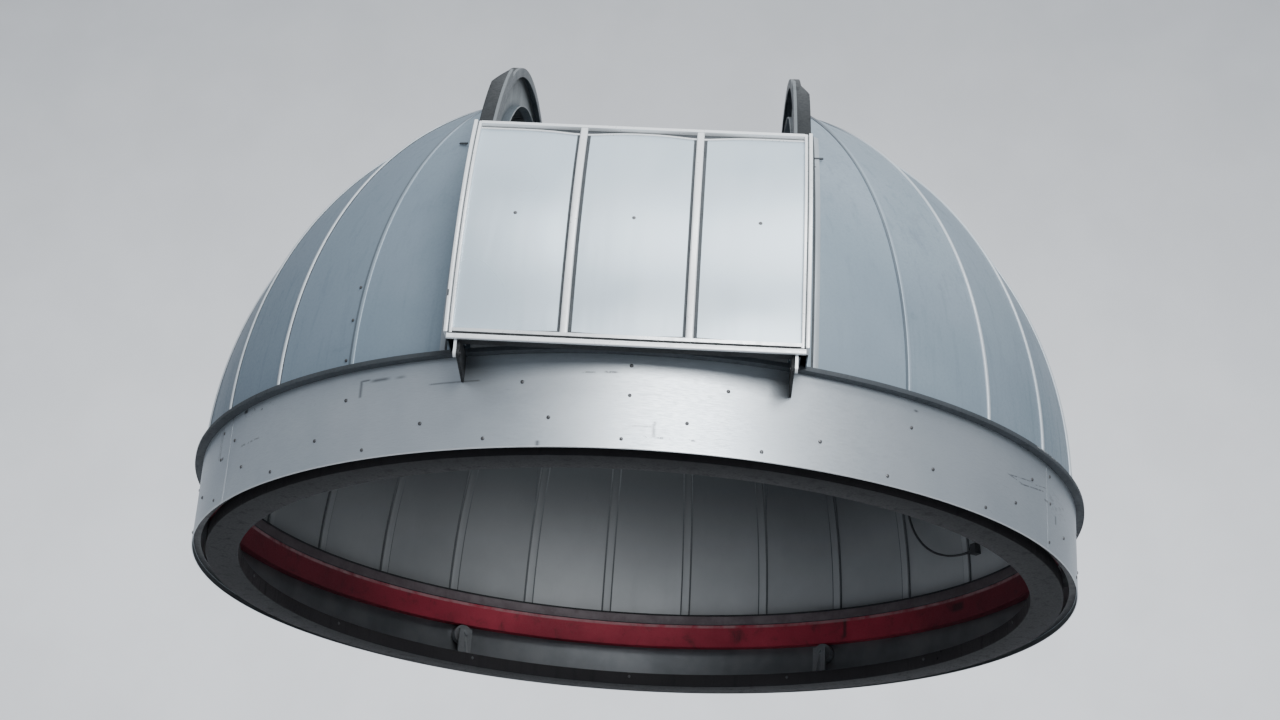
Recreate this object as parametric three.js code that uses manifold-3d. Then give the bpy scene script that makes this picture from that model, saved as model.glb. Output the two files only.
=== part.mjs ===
import * as THREE from "three";
import { mergeVertices } from "three/addons/utils/BufferGeometryUtils.js";
import Module from "manifold-3d";

const wasm = await Module();
wasm.setup();

// All sizes are in millimetres, with +Z up and the slit facing -Y.
const CLEAR = 0.3;

// Dome shell
const GORE = 12.783;
const REAR_GORES = 13.5;
const FIRST_GORE_FROM = 19;
const SHELL_STEPS = 84;
const SHELL_RADIUS = 1948;
const SHELL_THICK = 4;
const SPHERE_Z = 404;
const SHELL_TOP_ANGLE = 80;
const MERIDIAN_STEPS = 16;

// Skirt under the shell
const SKIRT_RADIUS = 1950;
const SKIRT_THICK = 4;
const SKIRT_BOTTOM = 10;
const SKIRT_TOP = 373;
const FLANGE_INNER = 1913;
const FLANGE_LOW = 35;
const SKIRT_SHEETS = 6;
const SKIRT_JOINT = 3;
const RING_STEPS = 72;

// Ledge plate between skirt and shell
const LEDGE_RADIUS = 1986;
const LEDGE_INNER = 1892;
const LEDGE_BOTTOM = SKIRT_TOP + CLEAR;
const LEDGE_TOP = LEDGE_BOTTOM + 10;
const LEDGE_LIP = 6;
const LEDGE_LIP_TOP = 427;
const LEDGE_RIM_TOP = 392;

// Red rolled channel that runs on the rollers
const TRACK_INNER = 1896;
const TRACK_OUTER = SKIRT_RADIUS - SKIRT_THICK - CLEAR;
const TRACK_BOTTOM = 250;
const TRACK_TOP = SKIRT_TOP;
const TRACK_THICK = 6;
const TRACK_JOINT = 3;

// Stationary ring and the rollers on it
const BASE_INNER = 1749;
const BASE_OUTER = 1889;
const BASE_TOP = 65;
const BASE_THICK = 8;
const BASE_JOINT = -25;
const RING_PARTS = 3;
const ROLLERS = 6;
const ROLLER_RADIUS = 50;
const ROLLER_WIDTH = 36;
const ROLLER_PLACE = 1921;
const ROLLER_Z = TRACK_BOTTOM - CLEAR - ROLLER_RADIUS;
const CHEEK_INNER = 1866;
const CHEEK_OUTER = 1878;
const CHEEK_WIDTH = 70;
const FOOT_INNER = 1785;
const FOOT_THICK = 8;
const AXLE_RADIUS = 12;

// Arch girders on both sides of the slit
const GIRDER_SLIT_FACE = 590;
const GIRDER_OUTER_FACE = 630;
const GIRDER_WEB = 5;
const GIRDER_BOTTOM = 1805;
const GIRDER_TOP = 1976;
const GIRDER_FLANGE = 5;
const GIRDER_LIP = 40;
const RAIL_WEB_BOTTOM = 1847;
const RAIL_FLANGE_BOTTOM = 1866;
const GIRDER_END = 106.5;
const ARCH_STEPS = 96;

// Wider raised seat of the lower shutter on the front of each girder, tapered at its upper end
const SEAT_OUTER_FACE = 657;
const SEAT_TOP = 2008;
const SEAT_END = 42.5;
const TAPER_END = 48.5;
const TAPER_TURN = 15;

// Slit end behind the zenith
const HEADER_ANGLE = 105.85;
const HEADER_HALF = 0.6;
const HEADER_LOW = 1811;
const HEADER_INNER_RADIUS = 1903;
const HEADER_HIGH = 1955;

// Shutters
const SHUTTER_HALF = 657;
const SHUTTER_TOP = 2085;
const SHUTTER_BOTTOM = SEAT_TOP + 6;
const SKIN_LOW = 2056;
const SKIN_HIGH = 2060;
const MULLION_HIGH = 2078;
const BAR = 30;
const MULLION = 30;
const MULLION_PLACE = 226;
const LOWER_FROM = -0.72;
const LOWER_TO = 27.8;
const UPPER_FROM = 102.5;
const UPPER_TO = 180.5;
const UPPER_CROSSBARS = [128.5, 154.5];
const SHOES = [119, 137.5, 156, 174.5];
const SHOE_HALF = 1.5;
const SHOE_INNER = 599;
const APRON_LOW = 1962;
const APRON_THICK = 3.3;

// Bottom hinge of the lower shutter
const PIN_Y = -2052;
const PIN_Z = 305;
const PIN_RADIUS = 6;
const EAR_RADIUS = 14;
const EAR_FROM = 608;
const EAR_THICK = 10;
const LUG_FROM = 596;
const LUG_THICK = 10;
const DRIP_HALF = 645;
const DRIP_LOW = 353;
const DRIP_HIGH = 371;
const DRIP_INNER = 2071;
const DRIP_WEB_HALF = 555;
const DRIP_WEB_LOW = 365;
const DRIP_WEB_OUTER = 2075;
const DRIP_WEB_INNER = 2040;

// Cable that hangs on the wall inside, at the rear right
const CABLE_RADIUS = 6;
const CABLE_ROUTE = [
  [1349, 1254, 965], [1351, 1256, 924], [1356, 1258, 884], [1364, 1257, 844], [1375, 1251, 804],
  [1387, 1241, 767], [1403, 1228, 731], [1421, 1211, 699], [1441, 1192, 670], [1464, 1169, 645],
  [1489, 1144, 624], [1514, 1116, 608], [1541, 1088, 596], [1568, 1058, 589], [1595, 1028, 586],
  [1623, 998, 588], [1650, 968, 595],
];
const JUNCTION_AZIMUTH = 132.92;
const JUNCTION_WIDTH = 64;
const JUNCTION_INNER = 1816;
const JUNCTION_LOW = 966;
const JUNCTION_HIGH = 1040;
const SOCKET_AZIMUTH = 119.68;
const SOCKET_WIDTH = 40;
const SOCKET_INNER = 1893;
const SOCKET_LOW = 570;
const SOCKET_HIGH = 622;

const rad = THREE.MathUtils.degToRad;

function solid(geometry) {
  const bare = geometry.clone();
  bare.deleteAttribute("normal");
  bare.deleteAttribute("uv");
  const merged = mergeVertices(bare, 1e-4);
  const mesh = new wasm.Mesh({
    numProp: 3,
    vertProperties: new Float32Array(merged.attributes.position.array),
    triVerts: new Uint32Array(merged.index.array),
  });
  return new wasm.Manifold(mesh);
}

function geometryOf(shape) {
  const mesh = shape.getMesh();
  const geometry = new THREE.BufferGeometry();
  const position = new THREE.BufferAttribute(new Float32Array(mesh.vertProperties), 3);
  geometry.setAttribute("position", position);
  geometry.setIndex(new THREE.BufferAttribute(new Uint32Array(mesh.triVerts), 1));
  return geometry;
}

function closed(points) {
  const area = THREE.ShapeUtils.area(points);
  const ordered = area > 0 ? [...points] : [...points].reverse();
  ordered.push(ordered[0].clone());
  return ordered;
}

// A section of radius and height, turned about the vertical axis
function ringZ(section, steps, startAngle = 0) {
  const points = closed(section.map(([r, z]) => new THREE.Vector2(r, z)));
  const geometry = new THREE.LatheGeometry(points, steps, rad(startAngle), Math.PI * 2);
  geometry.rotateX(Math.PI / 2);
  return solid(geometry);
}

// A section of sideways place and radius, turned about the axis of the arches
function ringX(section, steps = ARCH_STEPS) {
  const points = closed(section.map(([x, r]) => new THREE.Vector2(r, x)));
  const geometry = new THREE.LatheGeometry(points, steps, 0, Math.PI * 2);
  geometry.rotateZ(-Math.PI / 2);
  geometry.translate(0, 0, SPHERE_Z);
  return solid(geometry);
}

function rectangle(x0, r0, x1, r1) {
  return [[x0, r0], [x1, r0], [x1, r1], [x0, r1]];
}

function box(x0, y0, z0, x1, y1, z1) {
  const geometry = new THREE.BoxGeometry(x1 - x0, y1 - y0, z1 - z0);
  geometry.translate((x0 + x1) / 2, (y0 + y1) / 2, (z0 + z1) / 2);
  return solid(geometry);
}

function extrudeX(points, x0, x1) {
  const shape = new THREE.Shape(points.map(([y, z]) => new THREE.Vector2(y, z)));
  const geometry = new THREE.ExtrudeGeometry(shape, { depth: x1 - x0, bevelEnabled: false });
  const axes = new THREE.Matrix4();
  axes.makeBasis(new THREE.Vector3(0, 1, 0), new THREE.Vector3(0, 0, 1), new THREE.Vector3(1, 0, 0));
  geometry.applyMatrix4(axes);
  geometry.translate(x0, 0, 0);
  return solid(geometry);
}

// The space between two azimuths, measured from the front towards +X
function pie(from, to, gap = CLEAR / 2) {
  const middle = rad((from + to) / 2);
  const inset = gap / Math.sin(rad((to - from) / 2));
  const far = 3000;
  const points = [new THREE.Vector2(inset * Math.sin(middle), -inset * Math.cos(middle))];
  const parts = Math.max(2, Math.ceil((to - from) / 30));
  for (let i = 0; i <= parts; i += 1) {
    const a = rad(from + ((to - from) * i) / parts);
    points.push(new THREE.Vector2(
      inset * Math.sin(middle) + far * Math.sin(a),
      -inset * Math.cos(middle) - far * Math.cos(a),
    ));
  }
  const geometry = new THREE.ExtrudeGeometry(new THREE.Shape(points), { depth: 3000, bevelEnabled: false });
  return solid(geometry);
}

// The space between two angles over the arch, 0 at the front and 90 at the zenith
function fan(from, to, x0, x1) {
  const far = 3000;
  const points = [[0, SPHERE_Z]];
  const parts = Math.max(2, Math.ceil((to - from) / 30));
  for (let i = 0; i <= parts; i += 1) {
    const a = rad(from + ((to - from) * i) / parts);
    points.push([-far * Math.cos(a), SPHERE_Z + far * Math.sin(a)]);
  }
  return extrudeX(points, x0, x1);
}

function discX(y, z, radius, x0, x1, steps = 16) {
  const geometry = new THREE.CylinderGeometry(radius, radius, x1 - x0, steps);
  geometry.rotateZ(Math.PI / 2);
  geometry.translate((x0 + x1) / 2, y, z);
  return solid(geometry);
}

const dome = new THREE.Group();

function place(name, shape, material) {
  const mesh = new THREE.Mesh(geometryOf(shape), material.clone());
  mesh.name = name;
  dome.add(mesh);
  return mesh;
}

const paintedShell = new THREE.MeshStandardMaterial({ color: 0xb9c3c8, roughness: 0.55, metalness: 0.2 });
const bareSheet = new THREE.MeshStandardMaterial({ color: 0xd9dfe3, roughness: 0.35, metalness: 0.8 });
const redPrimer = new THREE.MeshStandardMaterial({ color: 0xa11c26, roughness: 0.7, metalness: 0.0 });
const brownSteel = new THREE.MeshStandardMaterial({ color: 0x40362f, roughness: 0.75, metalness: 0.2 });
const slateSteel = new THREE.MeshStandardMaterial({ color: 0x5a626b, roughness: 0.6, metalness: 0.4 });
const darkSteel = new THREE.MeshStandardMaterial({ color: 0x4b4f52, roughness: 0.6, metalness: 0.4 });
const rollerSteel = new THREE.MeshStandardMaterial({ color: 0x777b7f, roughness: 0.5, metalness: 0.8 });
const cableBlack = new THREE.MeshStandardMaterial({ color: 0x202224, roughness: 0.6, metalness: 0.0 });
const whiteFrame = new THREE.MeshStandardMaterial({ color: 0xe6eaed, roughness: 0.4, metalness: 0.4 });

// Stationary base ring
const baseSection = [
  [BASE_INNER, 0],
  [BASE_OUTER, 0],
  [BASE_OUTER, BASE_TOP],
  [BASE_OUTER - BASE_THICK, BASE_TOP],
  [BASE_OUTER - BASE_THICK, BASE_THICK],
  [BASE_INNER + BASE_THICK, BASE_THICK],
  [BASE_INNER + BASE_THICK, BASE_TOP],
  [BASE_INNER, BASE_TOP],
];
const baseRing = ringZ(baseSection, RING_STEPS);
["right", "rear", "left"].forEach((label, i) => {
  const from = BASE_JOINT + (360 / RING_PARTS) * i;
  place(`base_ring_${label}`, baseRing.intersect(pie(from, from + 360 / RING_PARTS)), brownSteel);
});

// Rollers on brackets that stand in the base ring
function roller(angle) {
  const foot = BASE_THICK + CLEAR;
  const wide = CHEEK_WIDTH / 2;
  const half = ROLLER_WIDTH / 2;
  const wheel = discX(0, ROLLER_Z, ROLLER_RADIUS, ROLLER_PLACE - half, ROLLER_PLACE + half, 20);
  const axle = discX(0, ROLLER_Z, AXLE_RADIUS, CHEEK_INNER - 10, ROLLER_PLACE + half + 1);
  const plate = box(FOOT_INNER, -wide, foot, CHEEK_OUTER, wide, foot + FOOT_THICK);
  const cheek = box(CHEEK_INNER, -wide, foot, CHEEK_OUTER, wide, ROLLER_Z + 22);
  const gusset = extrudeX([
    [FOOT_INNER + 6, foot + 1],
    [CHEEK_INNER + 1, foot + 1],
    [CHEEK_INNER + 1, ROLLER_Z - AXLE_RADIUS - 8],
  ], -4, 4).rotate([0, 0, -90]);
  const whole = wheel.add(axle).add(plate).add(cheek).add(gusset);
  return whole.rotate([0, 0, angle]);
}

for (let i = 0; i < ROLLERS; i += 1) {
  const angle = (360 / ROLLERS) * i;
  place(`roller_${i + 1}`, roller(angle), rollerSteel);
}

// Skirt sheets, each with an inward flange just above the foot
const skirtSection = [
  [SKIRT_RADIUS, SKIRT_BOTTOM],
  [SKIRT_RADIUS, SKIRT_TOP],
  [SKIRT_RADIUS - SKIRT_THICK, SKIRT_TOP],
  [SKIRT_RADIUS - SKIRT_THICK, FLANGE_LOW + SKIRT_THICK],
  [FLANGE_INNER, FLANGE_LOW + SKIRT_THICK],
  [FLANGE_INNER, FLANGE_LOW],
  [SKIRT_RADIUS - SKIRT_THICK, FLANGE_LOW],
  [SKIRT_RADIUS - SKIRT_THICK, SKIRT_BOTTOM],
];
const skirtRing = ringZ(skirtSection, RING_STEPS);
const skirtNames = ["front_right", "right", "rear_right", "rear_left", "left", "front_left"];
for (let i = 0; i < SKIRT_SHEETS; i += 1) {
  const from = SKIRT_JOINT + (360 / SKIRT_SHEETS) * i;
  const to = SKIRT_JOINT + (360 / SKIRT_SHEETS) * (i + 1);
  place(`skirt_${skirtNames[i]}`, skirtRing.intersect(pie(from, to)), bareSheet);
}

// Red track channel, open towards the skirt
const trackSection = [
  [TRACK_INNER, TRACK_BOTTOM],
  [TRACK_OUTER, TRACK_BOTTOM],
  [TRACK_OUTER, TRACK_BOTTOM + TRACK_THICK],
  [TRACK_INNER + TRACK_THICK, TRACK_BOTTOM + TRACK_THICK],
  [TRACK_INNER + TRACK_THICK, TRACK_TOP - TRACK_THICK],
  [TRACK_OUTER, TRACK_TOP - TRACK_THICK],
  [TRACK_OUTER, TRACK_TOP],
  [TRACK_INNER, TRACK_TOP],
];
const trackRing = ringZ(trackSection, RING_STEPS);
["right", "rear", "left"].forEach((label, i) => {
  const from = TRACK_JOINT + (360 / RING_PARTS) * i;
  place(`track_ring_${label}`, trackRing.intersect(pie(from, from + 360 / RING_PARTS)), redPrimer);
});

// Ledge plate that carries the shell, with a lip inside and a low rim outside
const ledgePlate = ringZ(rectangle(LEDGE_INNER, LEDGE_BOTTOM, LEDGE_RADIUS, LEDGE_TOP), RING_STEPS);
const lipSection = rectangle(LEDGE_INNER, LEDGE_TOP - 4, LEDGE_INNER + LEDGE_LIP, LEDGE_LIP_TOP);
const rimSection = rectangle(LEDGE_RADIUS - LEDGE_LIP, LEDGE_TOP - 4, LEDGE_RADIUS, LEDGE_RIM_TOP);
let ledgeLip = ringZ(lipSection, RING_STEPS);
let ledgeRim = ringZ(rimSection, RING_STEPS);
for (const side of [-1, 1]) {
  const from = side > 0 ? GIRDER_SLIT_FACE - 1 : -SEAT_OUTER_FACE - 1;
  const to = side > 0 ? SEAT_OUTER_FACE + 1 : -GIRDER_SLIT_FACE + 1;
  ledgeLip = ledgeLip.subtract(box(from, -LEDGE_RADIUS, LEDGE_BOTTOM, to, 0, LEDGE_LIP_TOP + 1));
  ledgeRim = ledgeRim.subtract(box(from, -LEDGE_RADIUS, LEDGE_TOP, to, LEDGE_RADIUS, LEDGE_RIM_TOP + 1));
}
place("ledge_ring", ledgePlate.add(ledgeLip).add(ledgeRim), darkSteel);

// Shell of curved gores, cut back to the girders
const SHELL_BOTTOM = LEDGE_TOP + CLEAR;
const shellSection = [[SHELL_RADIUS, SHELL_BOTTOM]];
for (let i = 0; i <= MERIDIAN_STEPS; i += 1) {
  const a = rad((SHELL_TOP_ANGLE * i) / MERIDIAN_STEPS);
  shellSection.push([SHELL_RADIUS * Math.cos(a), SPHERE_Z + SHELL_RADIUS * Math.sin(a)]);
}
const SHELL_INNER = SHELL_RADIUS - SHELL_THICK;
for (let i = MERIDIAN_STEPS; i >= 0; i -= 1) {
  const a = rad((SHELL_TOP_ANGLE * i) / MERIDIAN_STEPS);
  shellSection.push([SHELL_INNER * Math.cos(a), SPHERE_Z + SHELL_INNER * Math.sin(a)]);
}
shellSection.push([SHELL_INNER, SHELL_BOTTOM]);
const sideCut = GIRDER_OUTER_FACE + CLEAR;
const seatCut = SEAT_OUTER_FACE + CLEAR;
const middleCut = GIRDER_OUTER_FACE - GIRDER_WEB - CLEAR;
const slitFan = fan(-30, HEADER_ANGLE + HEADER_HALF + 0.1, -sideCut, sideCut);
const seatFan = fan(-30, SEAT_END + 0.02, -seatCut, seatCut);
const shell = ringZ(shellSection, SHELL_STEPS, GORE / 2).subtract(slitFan).subtract(seatFan);
const seam = (count) => 180 - GORE * (REAR_GORES - count);
const groupEdges = [FIRST_GORE_FROM, seam(3), seam(5), seam(7), seam(9), seam(12)];
groupEdges.slice(0, -1).forEach((from, i) => {
  const to = groupEdges[i + 1];
  const right = shell.intersect(pie(from, to));
  const left = shell.intersect(pie(-to, -from));
  place(`shell_right_${i + 1}`, right, paintedShell);
  place(`shell_left_${i + 1}`, left, paintedShell);
});

place("shell_rear_middle", shell.intersect(pie(seam(12), seam(15))), paintedShell);

// Arch girders on the ledge plate, which go on behind the slit as rails outside the shell
function girder() {
  const webInner = GIRDER_OUTER_FACE - GIRDER_WEB;
  const rail = ringX([
    [GIRDER_OUTER_FACE, RAIL_WEB_BOTTOM],
    [GIRDER_OUTER_FACE, GIRDER_TOP],
    [GIRDER_SLIT_FACE, GIRDER_TOP],
    [GIRDER_SLIT_FACE, GIRDER_TOP - GIRDER_LIP],
    [GIRDER_SLIT_FACE + GIRDER_FLANGE, GIRDER_TOP - GIRDER_LIP],
    [GIRDER_SLIT_FACE + GIRDER_FLANGE, GIRDER_TOP - GIRDER_FLANGE],
    [webInner, GIRDER_TOP - GIRDER_FLANGE],
    [webInner, RAIL_WEB_BOTTOM],
  ]);
  const deepSection = [
    [GIRDER_OUTER_FACE, GIRDER_BOTTOM],
    [GIRDER_OUTER_FACE, RAIL_WEB_BOTTOM + 1],
    [webInner, RAIL_WEB_BOTTOM + 1],
    [webInner, GIRDER_BOTTOM + GIRDER_FLANGE],
    [GIRDER_SLIT_FACE, GIRDER_BOTTOM + GIRDER_FLANGE],
    [GIRDER_SLIT_FACE, GIRDER_BOTTOM],
  ];
  const deepPart = ringX(deepSection).intersect(fan(-30, GIRDER_END, -700, 700));
  const flangeTop = RAIL_FLANGE_BOTTOM + GIRDER_FLANGE;
  const flangeSection = rectangle(GIRDER_SLIT_FACE, RAIL_FLANGE_BOTTOM, webInner + 1, flangeTop);
  const rearFlange = ringX(flangeSection).intersect(fan(GIRDER_END, 200, -700, 700));
  const upper = box(-3000, -3000, SHELL_BOTTOM, 3000, 3000, 3000);
  return rail.add(deepPart).add(rearFlange).add(seat()).intersect(upper);
}

// Folded sheet seat over and beside the girder, closed by an end plate and a tapered block
function seat() {
  const thick = GIRDER_WEB;
  const under = SEAT_TOP - thick;
  const folded = ringX([
    [GIRDER_SLIT_FACE, GIRDER_TOP - 1],
    [GIRDER_SLIT_FACE, SEAT_TOP],
    [SEAT_OUTER_FACE, SEAT_TOP],
    [SEAT_OUTER_FACE, GIRDER_BOTTOM],
    [GIRDER_OUTER_FACE - 1, GIRDER_BOTTOM],
    [GIRDER_OUTER_FACE - 1, GIRDER_BOTTOM + thick],
    [SEAT_OUTER_FACE - thick, GIRDER_BOTTOM + thick],
    [SEAT_OUTER_FACE - thick, under],
    [GIRDER_SLIT_FACE + thick, under],
    [GIRDER_SLIT_FACE + thick, GIRDER_TOP - 1],
  ]).intersect(fan(-30, SEAT_END, -700, 700));
  const endSection = rectangle(GIRDER_OUTER_FACE - 1, GIRDER_BOTTOM, SEAT_OUTER_FACE, SEAT_TOP - 1);
  const endPlate = ringX(endSection).intersect(fan(SEAT_END - 0.15, SEAT_END, -700, 700));
  const block = ringX(rectangle(GIRDER_SLIT_FACE, GIRDER_TOP - 1, SEAT_OUTER_FACE, SEAT_TOP));
  const slanted = box(0, 0, -200, 300, 500, 200)
    .rotate([0, 0, TAPER_TURN])
    .translate([SEAT_OUTER_FACE, 0, SEAT_TOP])
    .rotate([90 - SEAT_END, 0, 0])
    .translate([0, 0, SPHERE_Z]);
  const taper = block.intersect(fan(SEAT_END - 0.15, TAPER_END, -700, 700)).subtract(slanted);
  return folded.add(endPlate).add(taper);
}

place("girder_right", girder(), slateSteel);
place("girder_left", girder().mirror([1, 0, 0]), slateSteel);

// Header at the rear end of the slit
const lipCut = GIRDER_SLIT_FACE - CLEAR;
const underLip = GIRDER_TOP - GIRDER_LIP - CLEAR;
const headerRing = ringX([
  [-middleCut, HEADER_LOW],
  [middleCut, HEADER_LOW],
  [middleCut, underLip],
  [lipCut, underLip],
  [lipCut, HEADER_HIGH],
  [-lipCut, HEADER_HIGH],
  [-lipCut, underLip],
  [-middleCut, underLip],
]);
const headerHollow = new THREE.SphereGeometry(HEADER_INNER_RADIUS, 96, 48);
headerHollow.translate(0, 0, SPHERE_Z);
const headerFan = fan(HEADER_ANGLE - HEADER_HALF, HEADER_ANGLE + HEADER_HALF, -700, 700);
place("slit_header", headerRing.intersect(headerFan).subtract(solid(headerHollow)), slateSteel);

// Shutter frame of side rails, end rails and two mullions
function shutterFrame(from, to, crossbars) {
  const barAngle = THREE.MathUtils.radToDeg(BAR / SHUTTER_TOP);
  const inside = SHUTTER_HALF - BAR;
  const band = ringX(rectangle(-SHUTTER_HALF, SHUTTER_BOTTOM, SHUTTER_HALF, SHUTTER_TOP));
  const whole = band.intersect(fan(from, to, -700, 700));
  let frame = whole.subtract(fan(from + barAngle, to - barAngle, -inside, inside));
  for (const x of [-MULLION_PLACE, MULLION_PLACE]) {
    const rib = ringX(rectangle(x - MULLION / 2, SKIN_HIGH + CLEAR, x + MULLION / 2, MULLION_HIGH));
    frame = frame.add(rib.intersect(fan(from + barAngle / 2, to - barAngle / 2, -700, 700)));
  }
  for (const a of crossbars) {
    const cross = ringX(rectangle(-inside - 5, SKIN_HIGH + CLEAR, inside + 5, MULLION_HIGH));
    frame = frame.add(cross.intersect(fan(a - barAngle / 2, a + barAngle / 2, -700, 700)));
  }
  return frame;
}

function shutterSkin(from, to) {
  const barAngle = THREE.MathUtils.radToDeg((BAR + CLEAR) / SHUTTER_TOP);
  const inside = SHUTTER_HALF - BAR - CLEAR;
  const sheet = ringX(rectangle(-inside, SKIN_LOW, inside, SKIN_HIGH));
  return sheet.intersect(fan(from + barAngle, to - barAngle, -700, 700));
}

// Lower shutter with its drip bar and hinge ears
const dripStrip = box(-DRIP_HALF, -SHUTTER_TOP, DRIP_LOW, DRIP_HALF, -DRIP_INNER, DRIP_HIGH);
const dripWeb = box(-DRIP_WEB_HALF, -DRIP_WEB_OUTER, DRIP_WEB_LOW, DRIP_WEB_HALF, -DRIP_WEB_INNER, 385);
let lowerFrame = shutterFrame(LOWER_FROM, LOWER_TO, []).add(dripStrip).add(dripWeb);
for (const side of [-1, 1]) {
  const near = side > 0 ? EAR_FROM : -EAR_FROM - EAR_THICK;
  const ear = discX(PIN_Y, PIN_Z, EAR_RADIUS, near, near + EAR_THICK)
    .add(box(near, PIN_Y - EAR_RADIUS, PIN_Z, near + EAR_THICK, PIN_Y + EAR_RADIUS, 390));
  const hole = discX(PIN_Y, PIN_Z, PIN_RADIUS + CLEAR, near - 1, near + EAR_THICK + 1);
  lowerFrame = lowerFrame.add(ear).subtract(hole);
}
place("lower_shutter_frame", lowerFrame, whiteFrame);
place("lower_shutter_skin", shutterSkin(LOWER_FROM, LOWER_TO), paintedShell);

// Hinge lugs under the ledge plate, each with its welded pin
for (const [side, label] of [[1, "right"], [-1, "left"]]) {
  const near = side > 0 ? LUG_FROM : -LUG_FROM - LUG_THICK;
  const far = near + LUG_THICK;
  const back = -Math.sqrt(SKIRT_RADIUS ** 2 - LUG_FROM ** 2) - CLEAR;
  const lowest = PIN_Z - EAR_RADIUS;
  const arm = extrudeX([
    [back, SKIRT_TOP],
    [PIN_Y, SKIRT_TOP - 1],
    [PIN_Y, lowest],
    [back, lowest - 20],
  ], near, far);
  const ends = side > 0 ? [LUG_FROM - 6, EAR_FROM + EAR_THICK + 6] : [-EAR_FROM - EAR_THICK - 6, -LUG_FROM + 6];
  const pin = discX(PIN_Y, PIN_Z, PIN_RADIUS, ends[0], ends[1]);
  const lug = arm.add(discX(PIN_Y, PIN_Z, EAR_RADIUS, near, far)).add(pin);
  place(`hinge_lug_${label}`, lug, darkSteel);
}

// Upper shutter, parked open over the back, with side aprons and shoes that stand on the rails
let upperFrame = shutterFrame(UPPER_FROM, UPPER_TO, UPPER_CROSSBARS);
for (const side of [-1, 1]) {
  const apronSection = [
    [SHUTTER_HALF - 1, SHUTTER_BOTTOM + 20],
    [SHUTTER_HALF + APRON_THICK, SHUTTER_BOTTOM + 20],
    [SHUTTER_HALF + APRON_THICK, APRON_LOW],
    [SHUTTER_HALF, APRON_LOW],
    [SHUTTER_HALF, SHUTTER_BOTTOM + 1],
    [SHUTTER_HALF - 1, SHUTTER_BOTTOM + 1],
  ];
  const apron = ringX(apronSection.map(([x, r]) => [side * x, r]));
  upperFrame = upperFrame.add(apron.intersect(fan(UPPER_FROM, UPPER_TO, -700, 700)));
  const shoeSection = rectangle(SHOE_INNER, GIRDER_TOP + CLEAR, SHUTTER_HALF - 1, SHUTTER_BOTTOM + 20);
  const shoeRing = ringX(shoeSection.map(([x, r]) => [side * x, r]));
  for (const a of SHOES) {
    upperFrame = upperFrame.add(shoeRing.intersect(fan(a - SHOE_HALF, a + SHOE_HALF, -700, 700)));
  }
}
place("upper_shutter_frame", upperFrame, whiteFrame);
place("upper_shutter_skin", shutterSkin(UPPER_FROM, UPPER_TO), paintedShell);

// Hanging cable between a junction box and a socket on the wall
const wallSection = [[SHELL_RADIUS * 1.1, SHELL_BOTTOM]];
wallSection.push([SHELL_RADIUS * 1.1, SPHERE_Z + SHELL_RADIUS]);
for (let i = MERIDIAN_STEPS; i >= 0; i -= 1) {
  const a = rad((SHELL_TOP_ANGLE * i) / MERIDIAN_STEPS);
  const r = SHELL_INNER - CLEAR;
  wallSection.push([r * Math.cos(a), SPHERE_Z + r * Math.sin(a)]);
}
wallSection.push([SHELL_INNER - CLEAR, SHELL_BOTTOM]);
const wall = ringZ(wallSection, SHELL_STEPS, GORE / 2);

function wallBox(azimuth, width, inner, low, high) {
  const block = box(-width / 2, -SHELL_RADIUS, low, width / 2, -inner, high);
  return block.rotate([0, 0, azimuth]).subtract(wall);
}

const junction = wallBox(JUNCTION_AZIMUTH, JUNCTION_WIDTH, JUNCTION_INNER, JUNCTION_LOW, JUNCTION_HIGH);
place("cable_junction_box", junction, cableBlack);
const socket = wallBox(SOCKET_AZIMUTH, SOCKET_WIDTH, SOCKET_INNER, SOCKET_LOW, SOCKET_HIGH);
place("cable_socket", socket, cableBlack);

const cableLine = new THREE.CatmullRomCurve3(CABLE_ROUTE.map((p) => new THREE.Vector3(...p)));
const cableCircle = new THREE.Shape().absarc(0, 0, CABLE_RADIUS, 0, Math.PI * 2);
const cableGeometry = new THREE.ExtrudeGeometry(cableCircle, {
  steps: 40,
  curveSegments: 5,
  extrudePath: cableLine,
});
place("wall_cable", solid(cableGeometry), cableBlack);

export default dome;
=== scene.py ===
import math

import bmesh
import bpy
from mathutils import Matrix, Vector, noise


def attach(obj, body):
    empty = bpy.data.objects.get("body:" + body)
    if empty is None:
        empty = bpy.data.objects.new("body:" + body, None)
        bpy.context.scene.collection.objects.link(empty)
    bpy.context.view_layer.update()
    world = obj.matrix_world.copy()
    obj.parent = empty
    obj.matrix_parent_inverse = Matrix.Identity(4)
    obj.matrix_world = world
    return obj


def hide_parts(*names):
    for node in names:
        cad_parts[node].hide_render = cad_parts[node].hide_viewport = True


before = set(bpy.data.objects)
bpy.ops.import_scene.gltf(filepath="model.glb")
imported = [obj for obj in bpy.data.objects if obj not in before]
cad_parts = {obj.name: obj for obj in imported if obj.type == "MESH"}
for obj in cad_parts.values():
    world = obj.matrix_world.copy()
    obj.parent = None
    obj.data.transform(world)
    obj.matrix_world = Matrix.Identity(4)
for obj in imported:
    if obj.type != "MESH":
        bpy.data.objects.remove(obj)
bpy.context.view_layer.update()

# The shell, in metres and degrees as in the solid model
SPHERE_Z = 0.404
CENTRE = Vector((0, 0, SPHERE_Z))
SHELL_R = 1.948
SHELL_T = 0.004
SHELL_FOOT = 0.3836
SHELL_TOP = 82.0
FLATNESS = 0.5
GORE = 12.783
REAR_GORES = 13.5
FIRST_GORE = 19.0
SEAM_GAP = 0.006
HEADER_END = 106.55
CLEAR = 0.0003

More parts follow.
